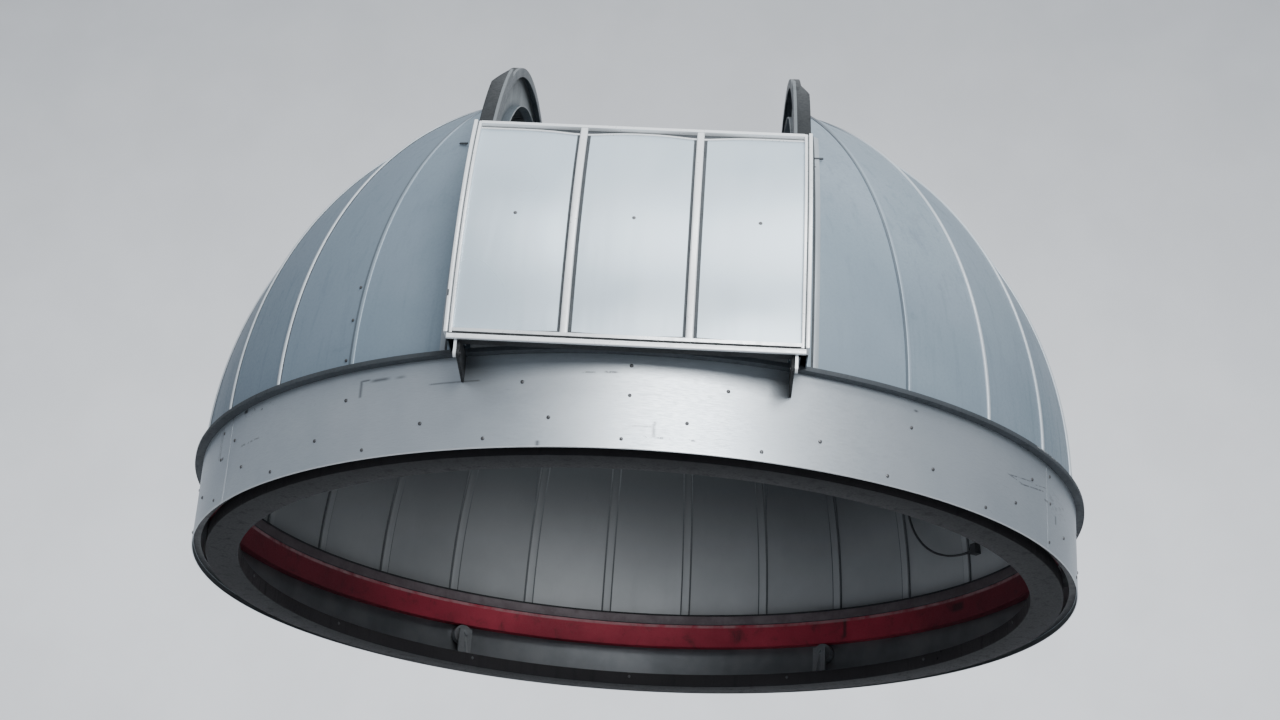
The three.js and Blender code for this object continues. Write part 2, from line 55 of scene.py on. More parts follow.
# The skirt and the rings
SKIRT_R = 1.95
SKIRT_T = 0.004
SKIRT_LOW = 0.01
SKIRT_HIGH = 0.373
SKIRT_MIDDLE = 0.19
SKIRT_JOINT = 3.0
SKIRT_SPAN = 60
LAP = 3.4
FLANGE_R = 1.913
FLANGE_Z = (0.035, 0.039)
LEDGE_R = 1.986
LEDGE_LOW = 0.3733
LEDGE_HIGH = 0.3833
LEDGE_RIM = 0.392
LIP_R = 1.892
LIP_HIGH = 0.427
TRACK_R = (1.896, 1.9457)
TRACK_Z = (0.25, 0.373)
RING_T = 0.006
BASE_R = (1.749, 1.889)
BASE_HIGH = 0.065
BASE_T = 0.008
RING_STEPS = 288

# The girders: places sideways, and distances from the arch's axis
SLIT_FACE = 0.59
ARCH_FACE = 0.63
ARCH_LOW = 1.805
ARCH_HIGH = 1.976
ARCH_LIP = 0.04
WEB = 0.005
RAIL_LOW = 1.847
RAIL_FLANGE = 1.866
SEAT_FACE = 0.657
SEAT_HIGH = 2.008
SEAT_END = 42.5
TAPER_END = 48.5
TAPER_TURN = 15.0
TAPER_LAP = 0.15

# The shutters
SHUTTER_HALF = 0.657
SHUTTER_R = 2.085
SHUTTER_LOW = 2.014
SHEET_R = 2.06
SHEET_T = 0.004
LOWER_ARC = (-0.72, 27.8)
UPPER_ARC = (102.5, 180.5)
UPPER_CROSSBARS = (128.5, 154.5)
BAR = 0.03
END_BAR = 0.017
FOOT_GAP = 0.0045
MULLION = 0.028
MULLION_PLACE = 0.226
PIN_Y = -2.052
PIN_Z = 0.305
EAR_R = 0.014


# Nodes of the materials
class Nodes:
    """A material, with short calls that add its nodes."""

    def __init__(self, name):
        self.mat = bpy.data.materials.new(name)
        self.mat.use_nodes = True
        self.tree = self.mat.node_tree
        self.shader = self.tree.nodes["Principled BSDF"]
        self.place = self.tree.nodes.new("ShaderNodeTexCoord").outputs["Object"]

    def put(self, socket, value):
        if isinstance(value, bpy.types.NodeSocket):
            self.tree.links.new(value, socket)
        elif isinstance(value, tuple) and len(value) == 3 and socket.type == "RGBA":
            socket.default_value = (*value, 1)
        else:
            socket.default_value = value

    def add(self, kind, values, **settings):
        """Adds a node with its settings and the values or links of its inputs."""
        n = self.tree.nodes.new(f"ShaderNode{kind}")
        for key, value in settings.items():
            setattr(n, key, value)
        for key, value in values.items():
            self.put(n.inputs[key], value)
        return n

    def math(self, op, a, b=0.0):
        return self.add("Math", {0: a, 1: b}, operation=op).outputs[0]

    def times(self, a, b):
        return self.math("MULTIPLY", a, b)

    def below(self, value, limit):
        return self.math("LESS_THAN", value, limit)

    def above(self, value, limit):
        return self.math("GREATER_THAN", value, limit)

    def stretch(self, x, y, z):
        return self.add("Mapping", {"Vector": self.place, "Scale": (x, y, z)}).outputs[0]

    def noise(self, scale, detail=4, rough=0.55, vector=None, warp=0.0):
        values = {"Scale": scale, "Detail": detail, "Roughness": rough, "Distortion": warp}
        return self.add("TexNoise", {"Vector": vector or self.place, **values}).outputs["Fac"]

    def span(self, value, lo, hi, to_lo=0.0, to_hi=1.0):
        """Takes a value from one range to another, smoothly."""
        values = {"Value": value, "From Min": lo, "From Max": hi, "To Min": to_lo, "To Max": to_hi}
        return self.add("MapRange", values, interpolation_type="SMOOTHSTEP").outputs[0]

    def mix(self, factor, a, b):
        """Mixes two colours, which are a colour mix's inputs 6 and 7, into its output 2."""
        return self.add("Mix", {0: factor, 6: a, 7: b}, data_type="RGBA").outputs[2]

    def axes(self):
        return tuple(self.add("SeparateXYZ", {0: self.place}).outputs)

    def azimuth(self):
        """The angle round the dome, in degrees from the front towards +X, and the height."""
        x, y, height = self.axes()
        angle = self.math("ARCTAN2", x, self.times(y, -1.0))
        return self.times(angle, 180 / math.pi), height

    def length(self, a, b):
        return self.math("SQRT", self.math("ADD", self.times(a, a), self.times(b, b)))

    def radius(self):
        """The distance from the dome's upright axis."""
        x, y, _ = self.axes()
        return self.length(x, y)

    def inward(self, height):
        """1 where the surface faces the point at this height on the dome's axis."""
        normal = self.tree.nodes.new("ShaderNodeTexCoord").outputs["Normal"]
        arm = self.add("VectorMath", {0: self.place, 1: (0, 0, height)}, operation="SUBTRACT")
        facing = self.add("VectorMath", {0: normal, 1: arm.outputs["Vector"]}, operation="DOT_PRODUCT")
        return self.below(facing.outputs["Value"], 0.0)

    def window(self, value, lo, hi, soft):
        """1 between two values, with soft ends."""
        up = self.span(value, lo - soft, lo + soft)
        return self.times(up, self.span(value, hi - soft, hi + soft, 1.0, 0.0))

    def patch(self, angle, height, place, soft_angle, soft_height):
        """1 on a patch of the wall, which is placed by its two azimuths and its two heights."""
        lo, hi, low, high = place
        return self.times(self.window(angle, lo, hi, soft_angle), self.window(height, low, high, soft_height))

    def bump(self, height, strength, distance):
        values = {"Height": height, "Strength": strength, "Distance": distance}
        self.put(self.shader.inputs["Normal"], self.add("Bump", values).outputs[0])

    def finish(self, color, rough, metal):
        self.put(self.shader.inputs["Base Color"], color)
        self.put(self.shader.inputs["Roughness"], rough)
        self.put(self.shader.inputs["Metallic"], metal)
        return self.mat


# Coats and bare sheets
def coat_tones(m, base, dark, light, streaks, grime, cover, grain=90.0):
    """Broad tone changes, rain streaks, fine grain and grime, with the values the bump needs."""
    broad = m.span(m.noise(1.3, 3), 0.35, 0.65)
    streak = m.span(m.noise(3.0, 5, 0.6, m.stretch(7, 7, 0.5)), 0.5, 0.75)
    fine = m.noise(grain, 3, 0.6)
    color = m.mix(broad, base, light)
    color = m.mix(m.times(streak, streaks), color, dark)
    color = m.mix(m.span(fine, 0.3, 0.8, 0.0, cover), color, dark)
    dirt = m.span(m.noise(6.0, 8, 0.7, warp=0.6), 0.58, 0.8, 0.0, grime)
    color = m.mix(dirt, color, tuple(c * 0.45 for c in dark))
    return color, broad, streak, fine


def coat_finish(m, color, broad, streak, fine, rough, metal, bump):
    """Roughness and bump that follow the coat's tones."""
    worn = m.math("ADD", fine, m.times(streak, 0.4))
    m.bump(m.math("ADD", fine, m.times(broad, 2.0)), bump, 0.002)
    return m.finish(color, m.span(worn, 0.3, 1.0, rough - 0.07, rough + 0.14), metal)


def coated(name, base, dark, light, rough, metal, streaks=0.35, grime=0.3, cover=0.22, grain=90.0, bump=0.08):
    """A plain coat, given by its own tone, a dark and a light one."""
    m = Nodes(name)
    tones = coat_tones(m, base, dark, light, streaks, grime, cover, grain)
    return coat_finish(m, *tones, rough, metal, bump)


def lining_tone_and_shade(m):
    """The dull coat inside, with painted shade that darkens it upwards and to the left."""
    patches = m.span(m.noise(1.8, 5), 0.3, 0.7)
    x, _, height = m.axes()
    # Painted shade: darker upwards and towards the left
    tone = m.mix(m.span(height, 0.36, 1.2), (0.52, 0.535, 0.545), (0.056, 0.062, 0.067))
    tone = m.mix(m.span(x, -1.4, 0.3, 0.4, 0.0), tone, (0.03, 0.034, 0.037))
    return m.mix(m.times(patches, 0.2), tone, (0.05, 0.054, 0.058))


def shell_coat():
    """Blue grey coat outside, with painted shade that deepens it towards the left, and the lining inside with
    its own painted shade.
    """
    m = Nodes("shell_coat")
    tones = (0.232, 0.298, 0.356), (0.158, 0.205, 0.248), (0.275, 0.343, 0.402)
    color, *rest = coat_tones(m, *tones, 0.35, 0.3, 0.2)
    # Painted shade towards the left
    left = m.span(m.axes()[0], -1.7, -0.1, 0.42, 0.0)
    color = m.mix(left, color, (0.15, 0.21, 0.285))
    color = m.mix(m.inward(SPHERE_Z), color, lining_tone_and_shade(m))
    return coat_finish(m, color, *rest, 0.46, 0.2, 0.06)


def lining_coat():
    """The lining's coat, for the battens."""
    m = Nodes("lining_coat")
    fine = m.noise(90.0, 3, 0.6)
    m.bump(fine, 0.06, 0.002)
    return m.finish(lining_tone_and_shade(m), m.span(fine, 0.3, 0.8, 0.5, 0.65), 0.1)


def rib_coat(name, tone, dark, light, high_z):
    """The coat of the trims on the shell: pale low down, and dark above a height."""
    m = Nodes(name)
    color, *rest = coat_tones(m, tone, dark, light, 0.2, 0.2, 0.1)
    high = m.span(m.axes()[2], high_z - 0.15, high_z + 0.15)
    color = m.mix(high, color, (0.07, 0.085, 0.107))
    return coat_finish(m, color, *rest, 0.42, 0.2, 0.08)


# Scuffs on the skirt: two azimuths, two heights, and how much of each the torn edge takes away
SCUFFS = [
    (-22.0, -16.0, 0.273, 0.2765, 0.4),
    (-31.3, -31.05, 0.262, 0.33, 0.3),
    (-31.2, -30.0, 0.325, 0.33, 0.4),
    (2.0, 8.0, 0.056, 0.063, 0.55),
    (0.8, 3.2, 0.0985, 0.101, 0.45),
    (3.25, 3.5, 0.06, 0.12, 0.45),
    (-4.6, -3.2, 0.298, 0.302, 0.45),
    (-2.2, -0.9, 0.3, 0.306, 0.42),
    (-9.05, -8.75, 0.01, 0.034, 0.2),
    (62.3, 62.7, 0.146, 0.182, 0.2),
    (58.8, 59.9, 0.212, 0.2185, 0.25),
    (33.6, 34.1, 0.331, 0.338, 0.4),
    (-53.4, -52.5, 0.356, 0.372, 0.2),
    (-60.0, -59.8, 0.222, 0.36, 0.46),
    (-59.2, -58.5, 0.208, 0.22, 0.2),
    (-53.0, -46.0, 0.335, 0.372, 0.6),
    (-53.0, -48.0, 0.214, 0.22, 0.5),
]
# Slanting strokes: two azimuths, height at the azimuth STROKES_FROM, half width and rise a degree
STROKES = [
    (50.0, 55.5, 0.246, 0.0022, 0.0046),
    (52.5, 58.5, 0.222, 0.0028, 0.0052),
    (49.5, 53.0, 0.214, 0.0016, -0.003),
    (56.0, 59.5, 0.236, 0.0016, 0.006),
]
STROKES_FROM = 54.0
# Soft smudges: two azimuths, two heights and depth
SMUDGES = [
    (-29.7, -27.4, 0.316, 0.326, 0.75),
    (-26.3, -25.3, 0.315, 0.323, 0.6),
]
SMEARS = (60.5, 67.0, 0.19, 0.27)


def skirt_marks(m, angle, height):
    """The skirt's scuffs and strokes, all with torn edges."""
    torn = m.noise(38.0, 6, 0.8)
    marks = 0.0
    for *place, limit in SCUFFS:
        spot = m.patch(angle, height, place, 0.25, 0.004)
        spot = m.times(spot, m.span(torn, limit - 0.03, limit + 0.05))
        marks = m.math("MAXIMUM", marks, spot)
    for lo, hi, place, half, slope in STROKES:
        rise = m.times(m.math("SUBTRACT", angle, STROKES_FROM), slope)
        level = m.math("SUBTRACT", height, rise)
        spot = m.patch(angle, level, (lo, hi, place - half, place + half), 0.4, 0.0015)
        spot = m.times(spot, m.span(torn, 0.4, 0.55))
        marks = m.math("MAXIMUM", marks, spot)
    return marks


def skirt_sheet():
    """Bare bright sheet with brushed grain and marks, with painted shade that makes it dull inside and dark
    on the flange.
    """
    m = Nodes("bare_sheet")
    angle, height = m.azimuth()
    broad = m.span(m.noise(1.6, 4), 0.3, 0.7)
    brushed = m.noise(30.0, 4, 0.7, m.stretch(1, 1, 14))
    color = m.mix(broad, (0.57, 0.625, 0.675), (0.7, 0.75, 0.79))
    color = m.mix(m.span(brushed, 0.35, 0.75, 0.0, 0.25), color, (0.4, 0.44, 0.48))
    specks = m.times(m.span(m.noise(70.0, 5, 0.75), 0.66, 0.72), m.span(m.noise(2.2, 4), 0.45, 0.6))
    color = m.mix(m.times(specks, 0.55), color, (0.13, 0.13, 0.14))
    # Long thin scratches along the sheet
    lines = m.span(m.noise(9.0, 6, 0.75, m.stretch(1, 1, 16), 0.4), 0.665, 0.685)
    lines = m.times(lines, m.span(m.noise(2.7, 3), 0.5, 0.62))
    color = m.mix(m.times(lines, 0.6), color, (0.1, 0.11, 0.13))
    marks = skirt_marks(m, angle, height)
    color = m.mix(m.times(marks, 0.85), color, (0.07, 0.07, 0.08))
    smears = m.span(m.noise(16.0, 6, 0.75, m.stretch(1, 1, 4)), 0.5, 0.62)
    smears = m.times(m.patch(angle, height, SMEARS, 1.0, 0.02), smears)
    color = m.mix(m.times(smears, 0.45), color, (0.2, 0.21, 0.22))
    for *place, depth in SMUDGES:
        smudge = m.patch(angle, height, place, 0.6, 0.006)
        color = m.mix(m.times(smudge, depth), color, (0.1, 0.105, 0.115))
    # Painted shade deeper towards the right, and a bright edge at the foot
    color = m.mix(m.span(angle, 20.0, 60.0, 0.0, 0.35), color, (0.36, 0.4, 0.44))
    color = m.mix(m.span(height, 0.0155, 0.0135), color, (0.8, 0.83, 0.85))
    # Painted shade on the inner face and on the flange
    dusty = m.span(m.noise(5.0, 6), 0.3, 0.7)
    wall = m.mix(dusty, (0.2, 0.21, 0.22), (0.27, 0.28, 0.29))
    color = m.mix(m.inward(SKIRT_MIDDLE), color, wall)
    flange = m.mix(dusty, (0.021, 0.022, 0.024), (0.036, 0.037, 0.04))
    color = m.mix(m.below(m.radius(), SKIRT_R - 0.007), color, flange)
    m.bump(m.math("ADD", brushed, m.times(marks, -0.6)), 0.12, 0.001)
    return m.finish(color, m.span(brushed, 0.2, 0.9, 0.34, 0.52), 0.85)


# Drip lines on the red ring: two azimuths, two heights, and how soft their sides are
DRIPS = [
    (145.6, 146.2, 0.27, 0.37, 0.25),
    (122.0, 124.5, 0.3, 0.34, 0.5),
]


def red_primer():
    """Dull red primer with chalky patches, grime, painted shade towards the sides and a pale worn top edge.
    """
    m = Nodes("red_primer")
    angle, height = m.azimuth()
    broad = m.span(m.noise(2.4, 5), 0.35, 0.7)
    color = m.mix(broad, (0.29, 0.014, 0.036), (0.44, 0.03, 0.06))
    grime = m.span(m.noise(9.0, 8, 0.7, warp=0.7), 0.5, 0.75, 0.0, 0.75)
    color = m.mix(grime, color, (0.045, 0.01, 0.016))
    # Painted shade towards the sides
    shade = m.span(m.math("ABSOLUTE", angle), 122, 146, 0.72, 0.0)
    color = m.mix(shade, color, (0.05, 0.008, 0.014))
    drips = 0.0
    for *place, soft in DRIPS:
        drips = m.math("MAXIMUM", drips, m.patch(angle, height, place, soft, 0.01))
    color = m.mix(m.times(drips, 0.8), color, (0.02, 0.008, 0.01))
    worn = m.times(m.span(height, 0.352, 0.36), m.span(m.noise(14.0, 5), 0.25, 0.6))
    color = m.mix(m.times(worn, 0.6), color, (0.42, 0.27, 0.28))
    fine = m.noise(160.0, 3)
    m.bump(fine, 0.15, 0.001)
    return m.finish(color, m.span(fine, 0.2, 0.8, 0.55, 0.8), 0.0)


def shutter_sheet():
    """Smooth pale sheet with a soft sheen and faint vertical waviness."""
    m = Nodes("shutter_sheet")
    broad = m.span(m.noise(1.1, 3), 0.35, 0.65)
    wavy = m.noise(2.2, 2, 0.4, m.stretch(5, 1, 0.7))
    color = m.mix(broad, (0.555, 0.665, 0.75), (0.645, 0.75, 0.825))
    color = m.mix(m.span(wavy, 0.3, 0.7, 0.0, 0.12), color, (0.49, 0.58, 0.65))
    speck = m.span(m.noise(120.0, 4, 0.7), 0.72, 0.8, 0.0, 0.2)
    color = m.mix(speck, color, (0.25, 0.27, 0.29))
    dirt = m.span(m.noise(5.0, 7, 0.7, warp=0.5), 0.62, 0.8, 0.0, 0.15)
    color = m.mix(dirt, color, (0.36, 0.39, 0.41))
    m.bump(m.math("ADD", wavy, m.times(m.noise(150.0, 2), 0.03)), 0.2, 0.006)
    return m.finish(color, m.span(broad, 0.0, 1.0, 0.27, 0.34), 0.3)


LEDGE_SCUFF = (54.6, 61.0, 0.3855, 0.3925)


def ledge_paint():
    """Slate paint, worn to a greyish pink on the lip inside, with painted shade on the lip towards the sides.
    """
    m = Nodes("dark_ledge")
    tones = (0.045, 0.053, 0.06), (0.025, 0.029, 0.034), (0.064, 0.074, 0.084)
    color, *rest = coat_tones(m, *tones, 0.3, 0.4, 0.22)
    angle, height = m.azimuth()
    lip = m.below(m.radius(), LIP_R + 0.0075)
    lip = m.times(lip, m.above(height, LEDGE_LOW + 0.0012))
    worn = m.span(m.noise(11.0, 6, 0.7), 0.35, 0.65)
    worn = m.mix(worn, (0.115, 0.09, 0.097), (0.165, 0.136, 0.145))
    # Painted shade on the lip towards the sides
    sides = m.span(m.math("ABSOLUTE", angle), 125, 150, 0.5, 0.0)
    color = m.mix(lip, color, m.mix(sides, worn, (0.05, 0.042, 0.046)))
    scuff = m.patch(angle, height, LEDGE_SCUFF, 0.3, 0.001)
    scuff = m.times(scuff, m.span(m.noise(45.0, 5, 0.8), 0.45, 0.55))
    color = m.mix(m.times(scuff, 0.8), color, (0.42, 0.44, 0.46))
    return coat_finish(m, color, *rest, 0.6, 0.1, 0.08)


# Two dark spots on the base ring's wall: azimuth and height
BASE_SPOTS = [(121.7, 0.06), (122.6, 0.028)]


def base_paint():
    """Dull near black paint, with painted shade underneath."""
    m = Nodes("brown_ring")
    tones = (0.027, 0.025, 0.027), (0.014, 0.014, 0.015), (0.038, 0.035, 0.037)
    color, *rest = coat_tones(m, *tones, 0.3, 0.5, 0.12)
    angle, height = m.azimuth()
    # Painted shade on the underside
    color = m.mix(m.below(height, 0.0035), color, (0.018, 0.0175, 0.019))
    for place, level in BASE_SPOTS:
        spot = m.patch(angle, height, (place - 0.2, place + 0.2, level - 0.006, level + 0.006), 0.08, 0.003)
        color = m.mix(spot, color, (0.004, 0.004, 0.005))
    m.shader.inputs["Specular IOR Level"].default_value = 0.18
    return coat_finish(m, color, *rest, 0.6, 0.0, 0.06)


def girder_paint():
    """Slate paint, near black outside, with painted highlights on the lip and the edges beside the slit, and
    a grey web.
    """
    m = Nodes("girder_steel")
    tones = (0.085, 0.105, 0.122), (0.048, 0.058, 0.068), (0.115, 0.138, 0.158)
    color, *rest = coat_tones(m, *tones, 0.35, 0.3, 0.22)
    x, y, z = m.axes()
    side = m.math("ABSOLUTE", x)
    reach = m.length(y, m.math("SUBTRACT", z, SPHERE_Z))
    # Painted highlights on the lip, on the top beside the slit and on the lower flange's edge
    near_slit = m.below(side, SLIT_FACE + 0.0025)
    lip = m.times(near_slit, m.above(reach, ARCH_HIGH - ARCH_LIP - 0.001))
    lip = m.times(lip, m.below(reach, ARCH_HIGH + CLEAR))
    edge_highlight = m.times(near_slit, m.below(reach, ARCH_LOW + 0.007))
    web = m.window(side, ARCH_FACE - WEB - 0.0008, ARCH_FACE - WEB + 0.0012, 0.0003)
    web = m.times(web, m.window(reach, ARCH_LOW + 0.02, ARCH_HIGH - 0.006, 0.02))
    patchy = m.span(m.noise(7.0, 5), 0.3, 0.7)
    color = m.mix(web, color, m.mix(patchy, (0.21, 0.235, 0.245), (0.29, 0.32, 0.33)))
    color = m.mix(lip, color, m.mix(patchy, (0.125, 0.14, 0.15), (0.175, 0.19, 0.205)))
    color = m.mix(edge_highlight, color, m.mix(patchy, (0.22, 0.24, 0.25), (0.28, 0.3, 0.31)))
    slate = m.mix(patchy, (0.006, 0.008, 0.01), (0.012, 0.015, 0.018))
    slate = m.mix(m.below(side, SLIT_FACE + 0.0125), slate, (0.15, 0.165, 0.175))
    color = m.mix(m.above(reach, ARCH_HIGH - 0.0006), color, slate)
    m.shader.inputs["Specular IOR Level"].default_value = 0.25
    return coat_finish(m, color, *rest, 0.5, 0.1, 0.08)


# The materials
shell_mat = shell_coat()
low_rib_mat = rib_coat("low_rib_coat", (0.27, 0.34, 0.4), (0.18, 0.23, 0.28), (0.33, 0.4, 0.46), 1.75)
# The ribs' pale tone is a painted highlight
highlit_rib_mat = rib_coat("rib_coat", (0.5, 0.55, 0.59), (0.35, 0.39, 0.43), (0.57, 0.62, 0.66), 1.95)
flashing_mat = rib_coat("flashing_coat", (0.33, 0.365, 0.4), (0.24, 0.27, 0.3), (0.4, 0.44, 0.47), 3.0)
# Dark coat for the painted shadow on both sides of the front ribs
front_rib_shadow_mat = rib_coat(
    "front_rib_shadow_coat", (0.115, 0.145, 0.175), (0.085, 0.105, 0.13), (0.14, 0.175, 0.205), 1.6,
)
inner_mat = lining_coat()
line_mat = coated("batten_seal", (0.085, 0.092, 0.098), (0.055, 0.06, 0.065), (0.11, 0.12, 0.127), 0.7, 0.0)
cable_mat = coated(
    "cable_black", (0.046, 0.048, 0.051), (0.026, 0.027, 0.029), (0.062, 0.064, 0.067), 0.5, 0.0, streaks=0.2,
)
ledge_mat = ledge_paint()
base_mat = base_paint()
girder_mat = girder_paint()
frame_mat = coated(
    "shutter_frame", (0.84, 0.865, 0.88), (0.66, 0.69, 0.71), (0.92, 0.94, 0.95), 0.34, 0.3,
    streaks=0.05, grime=0.05, cover=0.03, grain=60.0, bump=0.004,
)
steel_mat = coated("roller_steel", (0.36, 0.37, 0.38), (0.18, 0.18, 0.19), (0.45, 0.46, 0.47), 0.4, 0.9)
bolt_mat = coated("bolt_steel", (0.1, 0.1, 0.105), (0.04, 0.04, 0.042), (0.16, 0.16, 0.165), 0.5, 0.7)
# Dark seal, which also serves as painted shadow beside the ribs and in the shutters' gaps
caulk_and_shadow_mat = coated("dark_seal_and_shadow", (0.05, 0.057, 0.064), (0.028, 0.032, 0.036), (0.07, 0.078, 0.086), 0.75, 0.0)
# Grey seal, which also serves as painted shade in the side bars' grooves
grey_seal_and_shade_mat = coated("grey_seal_and_shade", (0.085, 0.095, 0.105), (0.05, 0.057, 0.064), (0.11, 0.12, 0.13), 0.75, 0)
# Black, which also serves as painted shade along the lip, under the lower shutter and on the hinge lugs
black_mat = coated("black_seal_and_shade", (0.014, 0.015, 0.017), (0.008, 0.008, 0.009), (0.022, 0.023, 0.025), 0.8, 0)
skirt_mat = skirt_sheet()
red_mat = red_primer()
sheet_mat = shutter_sheet()


# Outlines and places
def rectangle(x0, x1, y0, y1):
    return [(x0, y0), (x1, y0), (x1, y1), (x0, y1)]


def mirrored(outline, side):
    return [(side * x, r) for x, r in outline]


def rounded(points, radius, steps=3):
    """The same outline with its corners rounded off."""
    out = []
    count = len(points)
    for i, (x, y) in enumerate(points):
        here = Vector((x, y))
        before = Vector(points[i - 1]) - here
        after = Vector(points[(i + 1) % count]) - here
        reach = min(radius, before.length * 0.45, after.length * 0.45)
        a = here + before.normalized() * reach
        b = here + after.normalized() * reach
        for j in range(steps + 1):
            t = j / steps
            p = a * (1 - t) ** 2 + here * 2 * t * (1 - t) + b * t ** 2
            out.append((p.x, p.y))
    return out


def at_z(angle, r, z):
    """A place at an azimuth and a distance from the upright axis."""
    a = math.radians(angle)
    return (r * math.sin(a), -r * math.cos(a), z)


def at_x(angle, x, r):
    """A place at an angle over the slit and a distance from the arch's axis."""
    a = math.radians(angle)
    return (x, -r * math.cos(a), SPHERE_Z + r * math.sin(a))


# Meshes
def skin(rings, closed=False):
    """Joins rings of points into a closed surface."""
    bm = bmesh.new()
    rows = [[bm.verts.new(p) for p in ring] for ring in rings]
    n = len(rows[0])
    last = len(rows) if closed else len(rows) - 1
    for i in range(last):
        a, b = rows[i], rows[(i + 1) % len(rows)]
        for j in range(n):
            k = (j + 1) % n
            bm.faces.new((a[j], a[k], b[k], b[j]))
    if not closed:
        bm.faces.new(rows[0][::-1])
        bm.faces.new(rows[-1])
    return bm


def turn_z(section, start, end, steps, shape=None):
    """Turns a section of radius and height about the upright axis."""
    full = abs(end - start) >= 359.99
    rings = []
    for i in range(steps if full else steps + 1):
        a = start + (end - start) * i / steps
        rings.append([at_z(a, r + (shape(a, z) if shape else 0.0), z) for r, z in section])
    return skin(rings, full)


def turn_x(section, start, end, steps):
    """Turns a section of sideways place and radius about the arch's axis."""
    angles = [start + (end - start) * i / steps for i in range(steps + 1)]
    return skin([[at_x(angle, x, r) for x, r in section] for angle in angles])


def bisect(bm, point, normal, clear=False):
    everything = bm.verts[:] + bm.edges[:] + bm.faces[:]
    bmesh.ops.bisect_plane(bm, geom=everything, dist=1e-6, plane_co=point, plane_no=normal, clear_outer=clear)


def cut(bm, point, normal):
    """Removes what lies on the normal's side of a plane and closes the cut."""
    bisect(bm, point, normal, clear=True)
    open_edges = [e for e in bm.edges if e.is_boundary]
    if open_edges:
        bmesh.ops.holes_fill(bm, edges=open_edges, sides=0)
    return bm


def link(name, data):
    obj = bpy.data.objects.new(name, data)
    bpy.context.scene.collection.objects.link(obj)
    return obj


def piece(name, parts, material, body, nodes=(), sharp=32):
    """Makes one piece of its parts, which rides on a body and may stand for CAD nodes."""
    mesh = bpy.data.meshes.new(name)
    whole = bmesh.new()
    for part in parts:
        part.to_mesh(mesh)
        part.free()
        whole.from_mesh(mesh)
    bmesh.ops.remove_doubles(whole, verts=whole.verts[:], dist=1e-6)
    bmesh.ops.recalc_face_normals(whole, faces=whole.faces[:])
    whole.to_mesh(mesh)
    whole.free()
    mesh.materials.append(material)
    mesh.shade_smooth()
    mesh.set_sharp_from_angle(angle=math.radians(sharp))
    obj = link(name, mesh)
    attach(obj, body)
    if nodes:
        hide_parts(*nodes)


def bolts(name, places, radius, height, body, sides=12):
    """Round heads, each given by its place and the way it points."""
    bm = bmesh.new()
    profile = [(0.55 * radius, height * 0.93), (0.88 * radius, height * 0.6), (radius, 0.0), (radius, -0.001)]
    for centre, direction in places:
        turned = Vector(direction).to_track_quat("Z", "Y").to_matrix()
        rows = []
        for r, h in profile:
            row = []
            for i in range(sides):
                a = 2 * math.pi * i / sides
                p = Vector(centre) + turned @ Vector((r * math.cos(a), r * math.sin(a), h))
                row.append(bm.verts.new(p))
            rows.append(row)
        top = bm.verts.new(Vector(centre) + turned @ Vector((0, 0, height)))
        for i in range(sides):
            k = (i + 1) % sides
            bm.faces.new((top, rows[0][i], rows[0][k]))
            for a, b in zip(rows, rows[1:]):
                bm.faces.new((a[i], b[i], b[k], a[k]))
        bm.faces.new(rows[-1][::-1])
    piece(name, [bm], bolt_mat, body)


# The photograph's frame, focal length and the place at the view's middle, in pixels, and the zoom
PICTURE = (1280, 720)
FOCAL = 1040.0
AIM = (650.0, 168.0)
ZOOM = 1.9
# Where its camera stood and how it was held, in metres and degrees
EYE = Vector((0.0, -8.606, -2.357 + SKIRT_LOW))
YAW = -0.11
PITCH = 11.62
ROLL = 3.58
# How far round the dome it stood from the middle of the slit
CAMERA_TURN = 2.23


def place_camera():
    """Puts the camera where the photograph's stood, turned to centre the dome."""
    yaw, pitch, roll, turn = (math.radians(angle) for angle in (YAW, PITCH, ROLL, CAMERA_TURN))
    hold = Matrix.Rotation(-yaw, 3, "Z") @ Matrix.Rotation(pitch, 3, "X") @ Matrix.Rotation(-roll, 3, "Y")
    aim = hold @ Vector((AIM[0] - PICTURE[0] / 2, FOCAL, PICTURE[1] / 2 - AIM[1]))
    swing = hold.col[1].rotation_difference(aim)
    around = Matrix.Rotation(turn, 3, "Z")
    right, forward, up = (around @ (swing @ axis) for axis in hold.col)
    camera = bpy.data.cameras.new("camera")
    camera.sensor_width = 36.0
    camera.lens = camera.sensor_width * FOCAL * ZOOM / PICTURE[0]
    camera.clip_end = 200
    view = link("camera", camera)
    basis = Matrix((right, up, -forward)).transposed().to_4x4()
    basis.translation = around @ EYE
    view.matrix_world = basis
    bpy.context.scene.camera = view


place_camera()

# The cable on the wall inside, at the rear right
CABLE_ROUTE = [
    (1.349, 1.254, 0.965), (1.351, 1.256, 0.924), (1.356, 1.258, 0.884), (1.364, 1.257, 0.844),
    (1.375, 1.251, 0.804), (1.387, 1.241, 0.767), (1.403, 1.228, 0.731), (1.421, 1.211, 0.699),
    (1.441, 1.192, 0.67), (1.464, 1.169, 0.645), (1.489, 1.144, 0.624), (1.514, 1.116, 0.608),
    (1.541, 1.088, 0.596), (1.568, 1.058, 0.589), (1.595, 1.028, 0.586), (1.623, 0.998, 0.588),
    (1.65, 0.968, 0.595),
]
CABLE_RADIUS = 0.006


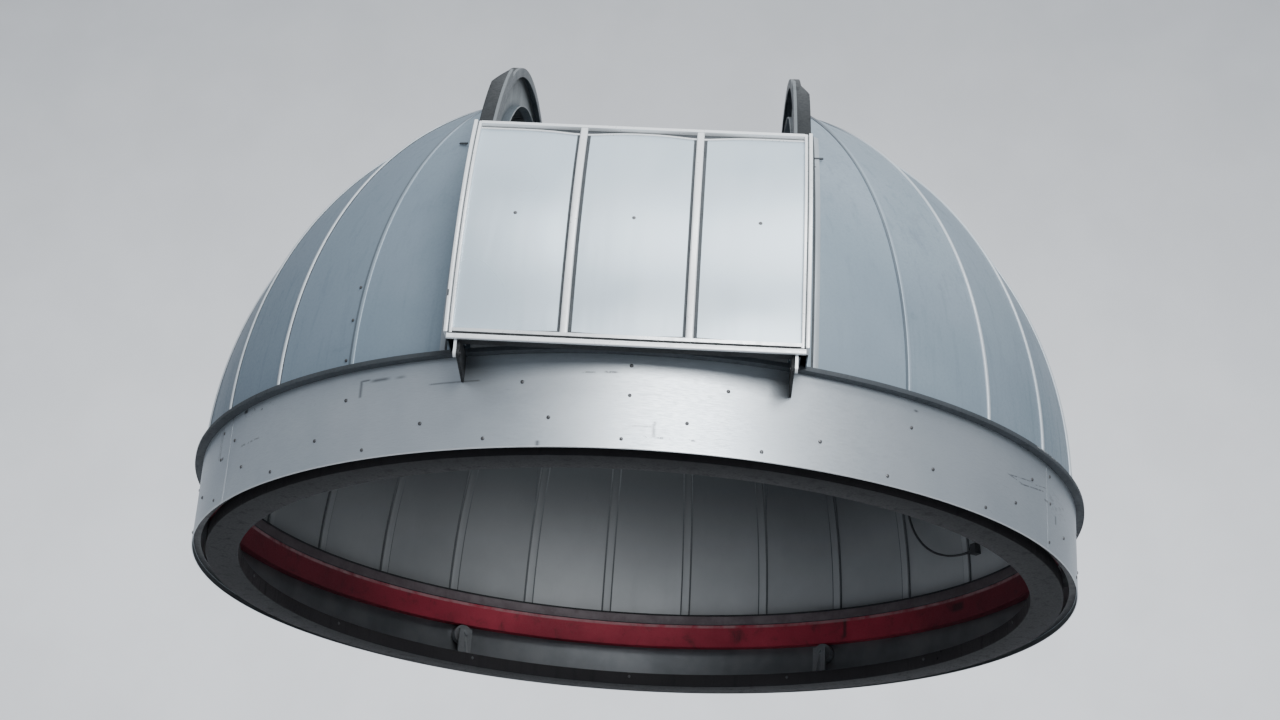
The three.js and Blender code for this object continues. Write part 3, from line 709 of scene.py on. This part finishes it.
def cable():
    """A black cable as one smooth curve."""
    curve = bpy.data.curves.new("wall_cable_line", "CURVE")
    curve.dimensions = "3D"
    curve.bevel_depth = CABLE_RADIUS
    curve.bevel_resolution = 4
    curve.resolution_u = 6
    curve.use_fill_caps = True
    line = curve.splines.new("BEZIER")
    line.bezier_points.add(len(CABLE_ROUTE) - 1)
    for point, place in zip(line.bezier_points, CABLE_ROUTE):
        point.co = place
        point.handle_left_type = point.handle_right_type = "AUTO"
    curve.materials.append(cable_mat)
    obj = link("wall_cable_line", curve)
    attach(obj, "dome")
    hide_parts("wall_cable")


cable()


# The skirt
def sheet_wave(angle, z):
    """The slight waviness of thin sheet, inwards."""
    p = Vector((math.sin(math.radians(angle)) * 3.2, math.cos(math.radians(angle)) * 3.2, z * 4.0))
    near_edge = min(1.0, (z - SKIRT_LOW) / 0.08, (SKIRT_HIGH - z) / 0.05)
    return -0.0016 * max(0.0, near_edge) * (0.5 + 0.5 * noise.noise(p))


def heights(low, high, steps=12):
    return [low + (high - low) * i / steps for i in range(steps + 1)]


def skirt_section():
    """The sheet with its inward flange, in enough points to follow the waviness."""
    back = SKIRT_R - SKIRT_T
    outer = [(SKIRT_R, z) for z in heights(SKIRT_LOW + 0.002, SKIRT_HIGH)]
    inner = [(back, z) for r, z in reversed(outer[2:-1])]
    low, high = FLANGE_Z
    flange = [(back, high), (FLANGE_R, high), (FLANGE_R, low), (back, low)]
    return outer + [(back, SKIRT_HIGH)] + inner + flange + [(back, SKIRT_LOW), (SKIRT_R - 0.0015, SKIRT_LOW)]


def lap_section(proud, low, high):
    """A thin strip on the sheet, which follows its waviness."""
    face = [(SKIRT_R + proud, z) for z in heights(low, high)]
    return face + [(SKIRT_R - 0.001, high), (SKIRT_R - 0.001, low)]


JOINTS = [SKIRT_JOINT + SKIRT_SPAN * k for k in range(6)]
for start, label in zip(JOINTS, ("front_right", "right", "rear_right", "rear_left", "left", "front_left")):
    sheet = turn_z(skirt_section(), start + SEAM_GAP, start + SKIRT_SPAN - SEAM_GAP, 60, sheet_wave)
    piece(f"skirt_sheet_{label}", [sheet], skirt_mat, "dome", [f"skirt_{label}"])
for number, start in enumerate(JOINTS, 1):
    lap = turn_z(lap_section(0.0008, 0.0125, 0.3715), start - LAP, start + 0.3, 8, sheet_wave)
    piece(f"skirt_lap_{number}", [lap], skirt_mat, "dome")

# A dark line at the edge of the lap at the left
LINE_AT = SKIRT_JOINT - SKIRT_SPAN - LAP
line = turn_z(lap_section(0.0004, 0.22, 0.36), LINE_AT - 0.12, LINE_AT, 2, sheet_wave)
piece("skirt_joint_line", [line], grey_seal_and_shade_mat, "dome")

# Bolts by azimuth and height: at the flange, two rows higher up, and two beside each joint
UPPER_BOLTS = (11.1, 33.2, 55.3, 77.4, 99.6, 121.7, 143.8, 165.9)
skirt_bolts = [(15 * k, 0.047) for k in range(24)]
skirt_bolts += [(-52.2 + 14.76 * k, 0.123) for k in range(-8, 16)]
skirt_bolts += [(side * a, 0.262) for a in UPPER_BOLTS for side in (-1, 1)]
skirt_bolts += [(start - 2.4, z) for start in JOINTS for z in (0.215, 0.33)]
places = [(at_z(a, SKIRT_R - 0.0004, z), at_z(a, 1.0, 0.0)) for a, z in skirt_bolts]
bolts("skirt_bolts", places, 0.0075, 0.0045, "dome")


# The rings
def ring(name, section, material, body, nodes=(), start=0, end=360, steps=RING_STEPS):
    piece(name, [turn_z(section, start, end, steps)], material, body, nodes)


def ring_nodes(name):
    return [f"{name}_ring_{part}" for part in ("right", "rear", "left")]


def channel(near, far, low, high, thick):
    """A channel's section, open on its far side."""
    return [
        (near, low), (far, low), (far, low + thick), (near + thick, low + thick),
        (near + thick, high - thick), (far, high - thick), (far, high), (near, high),
    ]


LIP_BACK = LIP_R + RING_T
ledge = [
    (LIP_R, LEDGE_LOW), (LEDGE_R, LEDGE_LOW), (LEDGE_R, LEDGE_RIM), (LEDGE_R - RING_T, LEDGE_RIM),
    (LEDGE_R - RING_T, LEDGE_HIGH), (LIP_BACK, LEDGE_HIGH), (LIP_BACK, LIP_HIGH), (LIP_R, LIP_HIGH),
]
ring("ledge_plate", rounded(ledge, 0.002), ledge_mat, "dome", ["ledge_ring"])
# A black strip along the lip's top, painted shadow where the lip meets the shell
ring(
    "lip_shadow_strip", rectangle(LIP_R - 0.0012, LIP_BACK + 0.0005, LIP_HIGH - 0.0075, LIP_HIGH + 0.0015),
    black_mat, "dome", start=24, end=336, steps=208,
)
track = rounded(channel(*TRACK_R, *TRACK_Z, RING_T), 0.004)
ring("track_channel", track, red_mat, "dome", ring_nodes("track"))
base = [(r, z) for z, r in channel(0.0, BASE_HIGH, *BASE_R, BASE_T)]
ring("base_channel", rounded(base, 0.0035), base_mat, "base", ring_nodes("base"))
places = [(at_z(14 + 28 * k, BASE_R[0] + 0.0004, 0.042), at_z(194 + 28 * k, 1.0, 0.0)) for k in range(13)]
bolts("base_bolts", places, 0.008, 0.005, "base")


# The shell
def seam(index):
    """Seams are counted from the middle of the rear."""
    return 180 - GORE * (REAR_GORES - index)


def shell_point(angle, t, middle, half):
    """A place on a gore: t is the height angle, or below 0 a height on the upright foot."""
    across = math.radians(angle - middle)
    r = SHELL_R * (1 - FLATNESS * (1 - math.cos(math.radians(half)) / math.cos(across)))
    if t < 0:
        return at_z(angle, r, SPHERE_Z + t)
    e = math.radians(t)
    x, y, _ = at_z(angle, r * math.cos(e), 0)
    return (x, y, SPHERE_Z + r * math.sin(e))


def gore(start, end, rows=44, columns=8):
    """The outer face of one gore between two seams."""
    a0, a1 = start + SEAM_GAP, end - SEAM_GAP
    middle, half = (start + end) / 2, (end - start) / 2
    angles = [a0 + (a1 - a0) * i / columns for i in range(columns + 1)]
    bm = bmesh.new()
    grid = []
    for t in [SHELL_FOOT - SPHERE_Z] + [SHELL_TOP * i / rows for i in range(rows + 1)]:
        grid.append([bm.verts.new(shell_point(a, t, middle, half)) for a in angles])
    for low, high in zip(grid, grid[1:]):
        for i in range(columns):
            bm.faces.new((low[i], low[i + 1], high[i + 1], high[i]))
    return bm


def over_plane(angle):
    """The plane through the arch's axis at this angle over the slit."""
    a = math.radians(angle)
    return CENTRE, Vector((0, -math.sin(a), -math.cos(a)))


def in_slit(p):
    """Whether a place lies over the slit, which is wider between the seats."""
    over = math.degrees(math.atan2(max(0.0, p.z - SPHERE_Z), -p.y))
    half = SEAT_FACE if over < SEAT_END else ARCH_FACE
    return abs(p.x) < half + CLEAR and over < HEADER_END


def open_slit(bm):
    """Takes out what lies over the slit."""
    planes = [((side * (x + CLEAR), 0, 0), (1, 0, 0)) for x in (SEAT_FACE, ARCH_FACE) for side in (-1, 1)]
    for point, normal in planes + [over_plane(SEAT_END), over_plane(HEADER_END)]:
        bisect(bm, point, normal)
    gone = [f for f in bm.faces if in_slit(f.calc_center_median())]
    bmesh.ops.delete(bm, geom=gone, context="FACES")


def thicken(bm):
    """Gives a face the sheet's thickness, inwards."""
    inner = {}
    for v in bm.verts[:]:
        centre = Vector((0, 0, min(v.co.z, SPHERE_Z)))
        inner[v] = bm.verts.new(v.co - (v.co - centre).normalized() * SHELL_T)
    rims = [e for e in bm.edges if e.is_boundary]
    for f in bm.faces[:]:
        bm.faces.new([inner[v] for v in reversed(f.verts)])
    for e in rims:
        a, b = e.verts
        bm.faces.new((a, b, inner[b], inner[a]))


def shell_piece(name, node, spans):
    gores = [gore(start, end) for start, end in spans]
    for bm in gores:
        open_slit(bm)
        thicken(bm)
    piece(name, gores, shell_mat, "dome", [node], 24)


# The gores' edges on the right, and the first and last of each group in the solid model
EDGES = [FIRST_GORE] + [seam(i) for i in range(2, 16)]
GROUPS = [(0, 2), (2, 4), (4, 6), (6, 8), (8, 11)]
for number, (first, last) in enumerate(GROUPS, 1):
    spans = list(zip(EDGES[first:last], EDGES[first + 1:last + 1]))
    shell_piece(f"gores_right_{number}", f"shell_right_{number}", spans)
    shell_piece(f"gores_left_{number}", f"shell_left_{number}", [(-b, -a) for a, b in spans])
shell_piece("gores_rear_middle", "shell_rear_middle", list(zip(EDGES[11:14], EDGES[12:15])))


# The ribs, the dark strips beside them and the battens on the seams: the ribs' pale tone is a painted
# highlight, and the dark strips are painted shadow beside the ribs
def along_seam(angle, section, rows=60):
    """Sweeps a section of sideways place and radius up a seam."""
    a = math.radians(angle)
    side = Vector((math.cos(a), math.sin(a), 0))
    out = Vector((math.sin(a), -math.cos(a), 0))
    foot = Vector((0, 0, SHELL_FOOT + 0.0005))
    rings = [[side * u + out * r + foot for u, r in section]]
    for i in range(rows + 1):
        e = math.radians(SHELL_TOP * i / rows)
        d = out * math.cos(e) + Vector((0, 0, math.sin(e)))
        rings.append([side * u + d * r + CENTRE for u, r in section])
    return skin(rings)


def seam_pieces(name, seams, plane, section, material):
    """One trim along several seams, cut off at the slit."""
    piece(name, [cut(along_seam(angle, section), *plane) for angle in seams], material, "dome", (), 40)


def rib(shoulder, top):
    """A rib's section, given by how high its shoulders and its top stand on the shell."""
    foot, half, crest = SHELL_R - 0.003, 0.0085, 0.0045
    outline = [
        (-half, foot), (half, foot), (half, SHELL_R + shoulder), (crest, SHELL_R + top),
        (-crest, SHELL_R + top), (-half, SHELL_R + shoulder),
    ]
    return rounded(outline, 0.0015, 2)


RIB = rib(0.0025, 0.0075)
LOW_RIB = rib(0.0015, 0.004)
# Dark strips of painted shadow beside the ribs
RIB_SHADOW = [
    (0.008, SHELL_R - 0.003), (0.0125, SHELL_R - 0.003),
    (0.012, SHELL_R + 0.0012), (0.008, SHELL_R + 0.0018),
]
FRONT_RIB_SHADOW = [
    (-0.0185, SHELL_R - 0.003), (-0.008, SHELL_R - 0.003),
    (-0.008, SHELL_R + 0.0018), (-0.018, SHELL_R + 0.001),
]
BATTEN = rounded(rectangle(-0.019, 0.019, SHELL_R - 0.017, SHELL_R - 0.004), 0.002, 2)
SEAL_DEEP = (SHELL_R - 0.0105, SHELL_R - 0.0025)
INNER_SEALS = [rectangle(-0.0265, -0.0185, *SEAL_DEEP), rectangle(0.0185, 0.0265, *SEAL_DEEP)]
AREAS = {
    "right": ([seam(i) for i in range(2, 10)], ((ARCH_FACE + CLEAR, 0, 0), (-1, 0, 0))),
    "left": ([-seam(i) for i in range(2, 10)], ((-ARCH_FACE - CLEAR, 0, 0), (1, 0, 0))),
    "rear": ([seam(i) for i in range(10, 18)], over_plane(HEADER_END)),
}
for label, (seams, plane) in AREAS.items():
    behind = seams if label == "rear" else seams[1:]
    front = [angle for angle in seams if angle not in behind]
    seam_pieces(f"seam_ribs_{label}", behind, plane, RIB, highlit_rib_mat)
    if front:
        seam_pieces(f"seam_rib_front_{label}", front, plane, LOW_RIB, low_rib_mat)
        seam_pieces(f"seam_rib_shadow_front_{label}", front, plane, FRONT_RIB_SHADOW, front_rib_shadow_mat)
    seam_pieces(f"seam_rib_shadows_{label}", behind, plane, RIB_SHADOW, caulk_and_shadow_mat)
for label, (seams, plane) in AREAS.items():
    seam_pieces(f"inner_battens_{label}", seams, plane, BATTEN, inner_mat)
    for number, section in enumerate(INNER_SEALS, 1):
        seam_pieces(f"batten_seals_{label}_{number}", seams, plane, section, line_mat)


# The girders
def girder(low, flange_low):
    """An arch girder's section of sideways place and radius, open towards the slit, with a lip on top."""
    web = ARCH_FACE - WEB
    lip = SLIT_FACE + WEB
    outline = [
        (ARCH_FACE, low), (ARCH_FACE, ARCH_HIGH), (SLIT_FACE, ARCH_HIGH), (SLIT_FACE, ARCH_HIGH - ARCH_LIP),
        (lip, ARCH_HIGH - ARCH_LIP), (lip, ARCH_HIGH - WEB), (web, ARCH_HIGH - WEB), (web, flange_low + WEB),
        (SLIT_FACE, flange_low + WEB), (SLIT_FACE, flange_low),
    ]
    return outline + ([(web, flange_low), (web, low)] if low < flange_low else [])


ARCH_TOP = ARCH_HIGH + CLEAR
ARCH_SIDE = ARCH_FACE + CLEAR
SEAT = [
    (SLIT_FACE, ARCH_TOP), (SLIT_FACE, SEAT_HIGH), (SEAT_FACE, SEAT_HIGH), (SEAT_FACE, ARCH_LOW),
    (ARCH_SIDE, ARCH_LOW), (ARCH_SIDE, ARCH_LOW + WEB), (SEAT_FACE - WEB, ARCH_LOW + WEB),
    (SEAT_FACE - WEB, SEAT_HIGH - WEB), (SLIT_FACE + WEB, SEAT_HIGH - WEB), (SLIT_FACE + WEB, ARCH_TOP),
]
SEAT_PLATE = rectangle(ARCH_SIDE, SEAT_FACE, ARCH_LOW, SEAT_HIGH)
# Each length of a girder: its section and the angles where it starts and ends
GIRDER_LENGTHS = [
    (girder(ARCH_LOW, ARCH_LOW), -3, 106.5),
    (girder(RAIL_LOW, RAIL_FLANGE), 106.502, 183),
    (SEAT, -3, SEAT_END - TAPER_LAP),
    (SEAT_PLATE, SEAT_END - TAPER_LAP, SEAT_END),
]
BEAD = rounded(rectangle(0.617, 0.6248, 1.963, 1.9708), 0.003)


def taper(side):
    """The block that closes the seat, turned in towards the slit."""
    rings = []
    for i in range(9):
        angle = SEAT_END - TAPER_LAP + (TAPER_END - SEAT_END + TAPER_LAP) * i / 8
        past = max(0.0, math.radians(angle - SEAT_END)) * SEAT_HIGH
        far = SEAT_FACE - past * math.tan(math.radians(TAPER_TURN))
        outline = rounded(rectangle(SLIT_FACE, far, ARCH_TOP, SEAT_HIGH), 0.002, 2)
        rings.append([at_x(angle, side * x, r) for x, r in outline])
    return skin(rings)


def shell_reach(x):
    """How far the shell's face is from the arch's axis at this place sideways."""
    return math.sqrt(SHELL_R ** 2 - x ** 2)


def beside(side, near, far, below, above, start, end):
    """A strip along the shell beside a girder."""
    section = [(near, shell_reach(near) - below), (far, shell_reach(far) - below)]
    section += [(far, shell_reach(far) + above), (near, shell_reach(near) + above)]
    return turn_x(rounded(mirrored(section, side), 0.0015, 2), start, end, int(end - start))


# Strips on the shell beside a girder: near and far side, depth, height, start and end
TRIMS = {
    "seal": (caulk_and_shadow_mat, [
        (SEAT_FACE + 0.018, SEAT_FACE + 0.026, 0.008, 0.0042, -0.5, SEAT_END - 0.1),
        (ARCH_FACE, ARCH_FACE + 0.005, 0.008, 0.006, SEAT_END + 0.4, 179),
    ]),
    "strip": (low_rib_mat, [(SEAT_FACE + CLEAR, SEAT_FACE + 0.018, 0.01, 0.0036, -0.5, SEAT_END - 0.2)]),
    "flashing": (flashing_mat, [(SEAT_FACE + 0.027, SEAT_FACE + 0.047, 0.01, 0.003, -0.5, SEAT_END - 0.2)]),
}
for side, label in ((1, "right"), (-1, "left")):
    parts = []
    for outline, start, end in GIRDER_LENGTHS:
        steps = max(1, int((end - start) / 1.2))
        length = turn_x(rounded(mirrored(outline, side), 0.0016, 2), start, end, steps)
        parts.append(cut(length, (0, 0, SHELL_FOOT), (0, 0, -1)))
    piece(f"arch_girder_{label}", [*parts, taper(side)], girder_mat, "dome", [f"girder_{label}"])
    heads = []
    for a in range(6, 175, 8):
        face = SEAT_FACE if a < SEAT_END else ARCH_FACE
        heads.append((at_x(a, side * (face - 0.0004), 1.94), (side, 0, 0)))
    bolts(f"girder_bolts_{label}", heads, 0.008, 0.005, "dome")
    for name, (material, strips) in TRIMS.items():
        piece(f"girder_{name}_{label}", [beside(side, *measures) for measures in strips], material, "dome")
    piece(f"girder_bead_{label}", [turn_x(mirrored(BEAD, side), -0.3, 106.0, 90)], highlit_rib_mat, "dome")


# Clips and screws on the shell
def clip(start, end, wide=0.009, high=0.005):
    """A small bar that lies on the shell."""
    a, b = Vector(start), Vector(end)
    out = ((a + b) / 2 - CENTRE).normalized()
    side = out.cross((b - a).normalized())
    section = rounded(rectangle(-wide / 2, wide / 2, -0.002, high), high * 0.4)
    return skin([[p + side * u + out * v for u, v in section] for p in (a, b)])


CLIPS = [
    ((-0.768, -1.421, 1.492), (-0.734, -1.45, 1.478)),
    ((0.6825, -1.494, 1.452), (0.718, -1.465, 1.469)),
]
piece("shell_clips", [clip(*ends) for ends in CLIPS], caulk_and_shadow_mat, "dome")

SCREWS = [at_z(-34, math.sqrt(SHELL_R ** 2 - (z - SPHERE_Z) ** 2), z) for z in (0.752, 0.604, 0.432)]
SCREWS.append((0.684, -1.531, 1.395))
bolts("shell_screws", [(p, Vector(p) - CENTRE) for p in SCREWS], 0.0065, 0.004, "dome")

# The shutters
BARS_TOP = SHUTTER_R - 0.001
BARS_INSIDE = SHUTTER_HALF - BAR
SHEET_EDGE = BARS_INSIDE - CLEAR
ON_SHEET = SHEET_R + CLEAR
SIDE_BAR = [
    (BARS_INSIDE, SHUTTER_LOW), (SHUTTER_HALF, SHUTTER_LOW), (SHUTTER_HALF, BARS_TOP),
    (SHUTTER_HALF - 0.013, BARS_TOP), (SHUTTER_HALF - 0.014, BARS_TOP - 0.01),
    (SHUTTER_HALF - 0.018, BARS_TOP - 0.01), (SHUTTER_HALF - 0.019, BARS_TOP - 0.006),
    (BARS_INSIDE + 0.001, BARS_TOP - 0.006), (BARS_INSIDE, BARS_TOP - 0.009),
]
GROOVE = rectangle(SHUTTER_HALF - 0.0184, SHUTTER_HALF - 0.0136, 2.0735, 2.076)
# How far the dark strips of painted shadow at the top end and at the foot widen beside the mullions
TOP_GAP = 0.018
LOW_GAP = 0.005
HEM = 0.009
# The screws' places sideways, one in each bay
SHEET_SCREWS = (-0.447, -0.004, 0.466)


def degrees(length):
    return math.degrees(length / SHUTTER_R)


def arc_steps(arc):
    return max(24, int((arc[1] - arc[0]) * 1.5))


def strip(outline, arc, steps, side=1):
    return turn_x(rounded(mirrored(outline, side), 0.0012, 2), *arc, steps)


def mullion(x):
    """A mullion's section, with its outer edges cut off."""
    half, shoulder, top = MULLION / 2, SHEET_R + 0.0155, SHEET_R + 0.018
    return [
        (x - half, ON_SHEET), (x + half, ON_SHEET), (x + half, shoulder),
        (x + half - 0.004, top), (x - half + 0.004, top), (x - half, shoulder),
    ]


def bars(name, arc, crossbars, extra, body):
    """Ridged side bars, plain end bars, mullions and crossbars."""
    steps = arc_steps(arc)
    parts = [strip(SIDE_BAR, arc, steps, side) for side in (1, -1)]
    inner = (arc[0] + degrees(0.012), arc[1] - degrees(0.012))
    parts += [strip(mullion(x), inner, steps) for x in (-MULLION_PLACE, MULLION_PLACE)]
    wide = BARS_INSIDE + 0.002
    end_bar = rectangle(-wide, wide, SHUTTER_LOW, BARS_TOP - 0.004)
    parts.append(strip(end_bar, (arc[0] + degrees(FOOT_GAP), arc[0] + degrees(END_BAR)), 3))
    parts.append(strip(end_bar, (arc[1] - degrees(END_BAR), arc[1]), 3))
    crossbar = rectangle(-wide, wide, ON_SHEET, SHEET_R + 0.017)
    parts += [strip(crossbar, (a - degrees(BAR) / 2, a + degrees(BAR) / 2), 3) for a in crossbars]
    piece(f"{name}_bars", parts + extra, frame_mat, body, [f"{name}_shutter_frame"])


def across_bay(x):
    """How far across its bay a place is, from 0 at one side to 1 at the other."""
    sides = (-SHEET_EDGE, -MULLION_PLACE, MULLION_PLACE, SHEET_EDGE)
    left, right = next((a, b) for a, b in zip(sides, sides[1:]) if x < b or b == SHEET_EDGE)
    return (x - left) / (right - left)


def sheet(name, arc, body, columns=48):
    """The sheet, with each bay standing slightly proud in its middle."""
    low, high = arc[0] + degrees(END_BAR + CLEAR), arc[1] - degrees(END_BAR + CLEAR)
    rows = arc_steps(arc) * 2
    rings = []
    for i in range(rows + 1):
        a = low + (high - low) * i / rows
        along = min(1.0, min(a - low, high - a) / 4.0)
        outer, inner = [], []
        for j in range(columns + 1):
            x = -SHEET_EDGE + 2 * SHEET_EDGE * j / columns
            bulge = max(0.0, math.sin(math.pi * across_bay(x))) ** 0.7
            swell = 0.0045 * bulge * math.sin(along * math.pi / 2)
            outer.append(at_x(a, x, SHEET_R + swell))
            inner.append(at_x(a, x, SHEET_R - SHEET_T + swell))
        rings.append(outer + inner[::-1])
    piece(f"{name}_sheet", [skin(rings)], sheet_mat, body, [f"{name}_shutter_skin"])


def gap(x, deep):
    """The painted shadow's width along an end, in degrees."""
    near = abs(abs(x) - MULLION_PLACE)
    return degrees(0.006 + deep * math.exp(-(near / 0.11) ** 2))


def edge_strip(start, end, low, high, columns=64):
    """A strip across the sheet's end, between angles that are given at each place sideways."""
    rings = []
    for i in range(columns + 1):
        x = -SHEET_EDGE + 2 * SHEET_EDGE * i / columns
        a, b = start(x), end(x)
        rings.append([at_x(a, x, low), at_x(b, x, low), at_x(b, x, high), at_x(a, x, high)])
    return skin(rings)


def trims(name, arc, body):
    """Dark strips of painted shadow beside the mullions and along both ends, the sheet's turned edge at the
    top, and grey strips of painted shade in the side bars' grooves.
    """
    steps = arc_steps(arc)
    low, high = arc[0] + degrees(END_BAR), arc[1] - degrees(END_BAR)
    deep = (SHEET_R - 0.0004, SHEET_R + 0.004)
    top = edge_strip(lambda x: high - gap(x, TOP_GAP), lambda x: high, *deep)
    foot = edge_strip(lambda x: low, lambda x: low + gap(x, LOW_GAP), *deep)
    hem = edge_strip(
        lambda x: high - gap(x, TOP_GAP) - degrees(HEM), lambda x: high - gap(x, TOP_GAP),
        SHEET_R - 0.001, SHEET_R + 0.0052,
    )
    seals = [top, foot]
    for x in (-MULLION_PLACE, MULLION_PLACE):
        for near, far in ((-MULLION / 2 - 0.011, -MULLION / 2), (MULLION / 2, MULLION / 2 + 0.013)):
            section = rectangle(x + near, x + far, SHEET_R - 0.0002, SHEET_R + 0.0022)
            seals.append(turn_x(section, low, high, steps))
    grooves = [turn_x(mirrored(GROOVE, side), *arc, steps) for side in (-1, 1)]
    piece(f"{name}_seals", seals, caulk_and_shadow_mat, body)
    piece(f"{name}_hem", [hem], frame_mat, body)
    piece(f"{name}_grooves", grooves, grey_seal_and_shade_mat, body)


def shutter(name, arc, crossbars, body, extra, lift=0.0):
    """A shutter on its arc, with screws in the middle of its bays or a lift above it, in degrees."""
    bars(name, arc, crossbars, extra, body)
    sheet(name, arc, body)
    trims(name, arc, body)
    ends = [arc[0], *crossbars, arc[1]]
    heads = []
    for lo, hi in zip(ends, ends[1:]):
        a = (lo + hi) / 2 + lift
        out = Vector(at_x(a, 0, 1)) - CENTRE
        heads += [(at_x(a, x, SHEET_R + 0.004), out) for x in SHEET_SCREWS]
    bolts(f"{name}_sheet_bolts", heads, 0.0075, 0.004, body)


def bar_along_x(start, end, section, radius):
    """A straight bar with a section of y and z."""
    return skin([[(x, y, z) for y, z in rounded(section, radius, 2)] for x in (start, end)])


def lower_foot():
    """The drip strip and the sill behind it, and the two ears that turn on the pins."""
    drip = bar_along_x(-0.645, 0.645, rectangle(-2.085, -2.071, 0.353, 0.371), 0.002)
    sill = bar_along_x(-0.555, 0.555, rectangle(-2.0745, -2.04, 0.365, 0.385), 0.002)
    turns = [math.radians(180 + 15 * i) for i in range(13)]
    ear = [(PIN_Y + EAR_R * math.cos(t), PIN_Z + EAR_R * math.sin(t)) for t in turns]
    ear += [(PIN_Y + EAR_R, 0.39), (PIN_Y - EAR_R, 0.39)]
    ears = [skin([[(x, y, z) for y, z in ear] for x in (side * 0.608, side * 0.618)]) for side in (-1, 1)]
    return [drip, sill, *ears]


def upper_aprons():
    """The upper shutter's aprons beside the girders, and the shoes that it rests on."""
    parts = []
    for side in (-1, 1):
        parts.append(strip(rectangle(0.6568, 0.6603, 1.962, 2.034), UPPER_ARC, 72, side))
        for a in (119, 137.5, 156, 174.5):
            parts.append(strip(rectangle(0.599, 0.656, ARCH_TOP, 2.02), (a - 1.5, a + 1.5), 3, side))
    return parts


shutter("lower", LOWER_ARC, (), "lower_shutter", lower_foot(), 0.4)

# Black fillings between the lower shutter's bottom bar and its drip strip, painted shade in the gap
middle = bar_along_x(-0.556, 0.556, rectangle(-2.0765, -2.0745, 0.3715, 0.3865), 0.0004)
piece("foot_shade_middle", [middle], black_mat, "lower_shutter")
end = rectangle(-2.0765, -2.07, 0.3712, 0.3865)
ends = [bar_along_x(side * 0.5565, side * 0.645, end, 0.0004) for side in (-1, 1)]
piece("foot_shade_ends", ends, black_mat, "lower_shutter")

# A small catch on its left bar, and the black rubber strip under its foot, which is also painted shade there
catch = turn_x(rounded(rectangle(-0.6571, -0.6515, 2.078, 2.0846), 0.001, 2), 3.15, 3.85, 2)
piece("side_bar_catch", [catch], caulk_and_shadow_mat, "lower_shutter")
rubber_and_shade = bar_along_x(-0.6, 0.6, rectangle(-2.0705, -2.015, 0.358, 0.3645), 0.001)
piece("foot_rubber", [rubber_and_shade], black_mat, "lower_shutter")

shutter("upper", UPPER_ARC, UPPER_CROSSBARS, "dome", upper_aprons())

# The CAD nodes that show as they are; the hinge lugs' black is painted shade
OWN_SHAPES = {"roller_": steel_mat, "cable_": cable_mat, "hinge_lug": black_mat, "slit_header": girder_mat}
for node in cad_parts:
    for start, material in OWN_SHAPES.items():
        if node.startswith(start):
            obj = bpy.data.objects[node]
            obj.data.materials.clear()
            obj.data.materials.append(material)

# The floor, which curves up into a wall far behind
FLOOR_Z = -8.0
FLOOR_FRONT = -40.0
FLOOR_BACK = 20.0
WALL_CURVE = 8.0
WALL_TOP = 30.0
FLOOR_HALF = 60


def stage_sheet():
    """A pale floor and wall in one sheet."""
    profile = [(FLOOR_FRONT, FLOOR_Z)]
    for i in range(13):
        a = math.radians(90 * i / 12)
        y = FLOOR_BACK + WALL_CURVE * math.sin(a)
        z = FLOOR_Z + WALL_CURVE - WALL_CURVE * math.cos(a)
        profile.append((y, z))
    profile.append((FLOOR_BACK + WALL_CURVE, WALL_TOP))
    bm = bmesh.new()
    left = [bm.verts.new((-FLOOR_HALF, y, z)) for y, z in profile]
    right = [bm.verts.new((FLOOR_HALF, y, z)) for y, z in profile]
    for i in range(len(profile) - 1):
        bm.faces.new((left[i], right[i], right[i + 1], left[i + 1]))
    mesh = bpy.data.meshes.new("floor")
    bm.to_mesh(mesh)
    bm.free()
    m = Nodes("pale_floor")
    tone = m.span(m.noise(0.6, 3), 0.3, 0.7)
    m.finish(m.mix(tone, (0.72, 0.73, 0.745), (0.76, 0.77, 0.785)), 0.9, 0.0)
    mesh.materials.append(m.mat)
    mesh.shade_smooth()
    link("floor", mesh)


stage_sheet()

# The light
SKY_COLOR = (0.78, 0.84, 0.92, 1)
SKY_STRENGTH = 0.42
world = bpy.data.worlds.new("world")
bpy.context.scene.world = world
world.use_nodes = True
sky = world.node_tree.nodes["Background"]
sky.inputs[0].default_value = SKY_COLOR
sky.inputs[1].default_value = SKY_STRENGTH


def area(name, place, target, size, power, color):
    """A soft light at a place, turned to its target."""
    light = bpy.data.lights.new(name, "AREA")
    light.shape = "RECTANGLE"
    light.size, light.size_y = size
    light.energy = power
    light.color = color
    obj = link(name, light)
    obj.location = place
    obj.rotation_mode = "QUATERNION"
    obj.rotation_quaternion = (Vector(target) - Vector(place)).to_track_quat("-Z", "Y")


area("sky_light", (1.6, -1.0, 9.5), (0, 0, 1), (12, 12), 550, (0.93, 0.97, 1.0))
area("high_light", (1.8, -8.0, 7.8), (0, 0, 1.2), (6, 3), 520, (0.96, 0.985, 1.0))
area("front_light", (2.0, -10.0, 2.6), (0, 0, 0.7), (4.0, 3.0), 650, (0.97, 0.99, 1.0))
area("wall_light", (0, 14.0, 6.0), (0, 28.0, 14.0), (40, 16), 6000, (0.95, 0.97, 1.0))
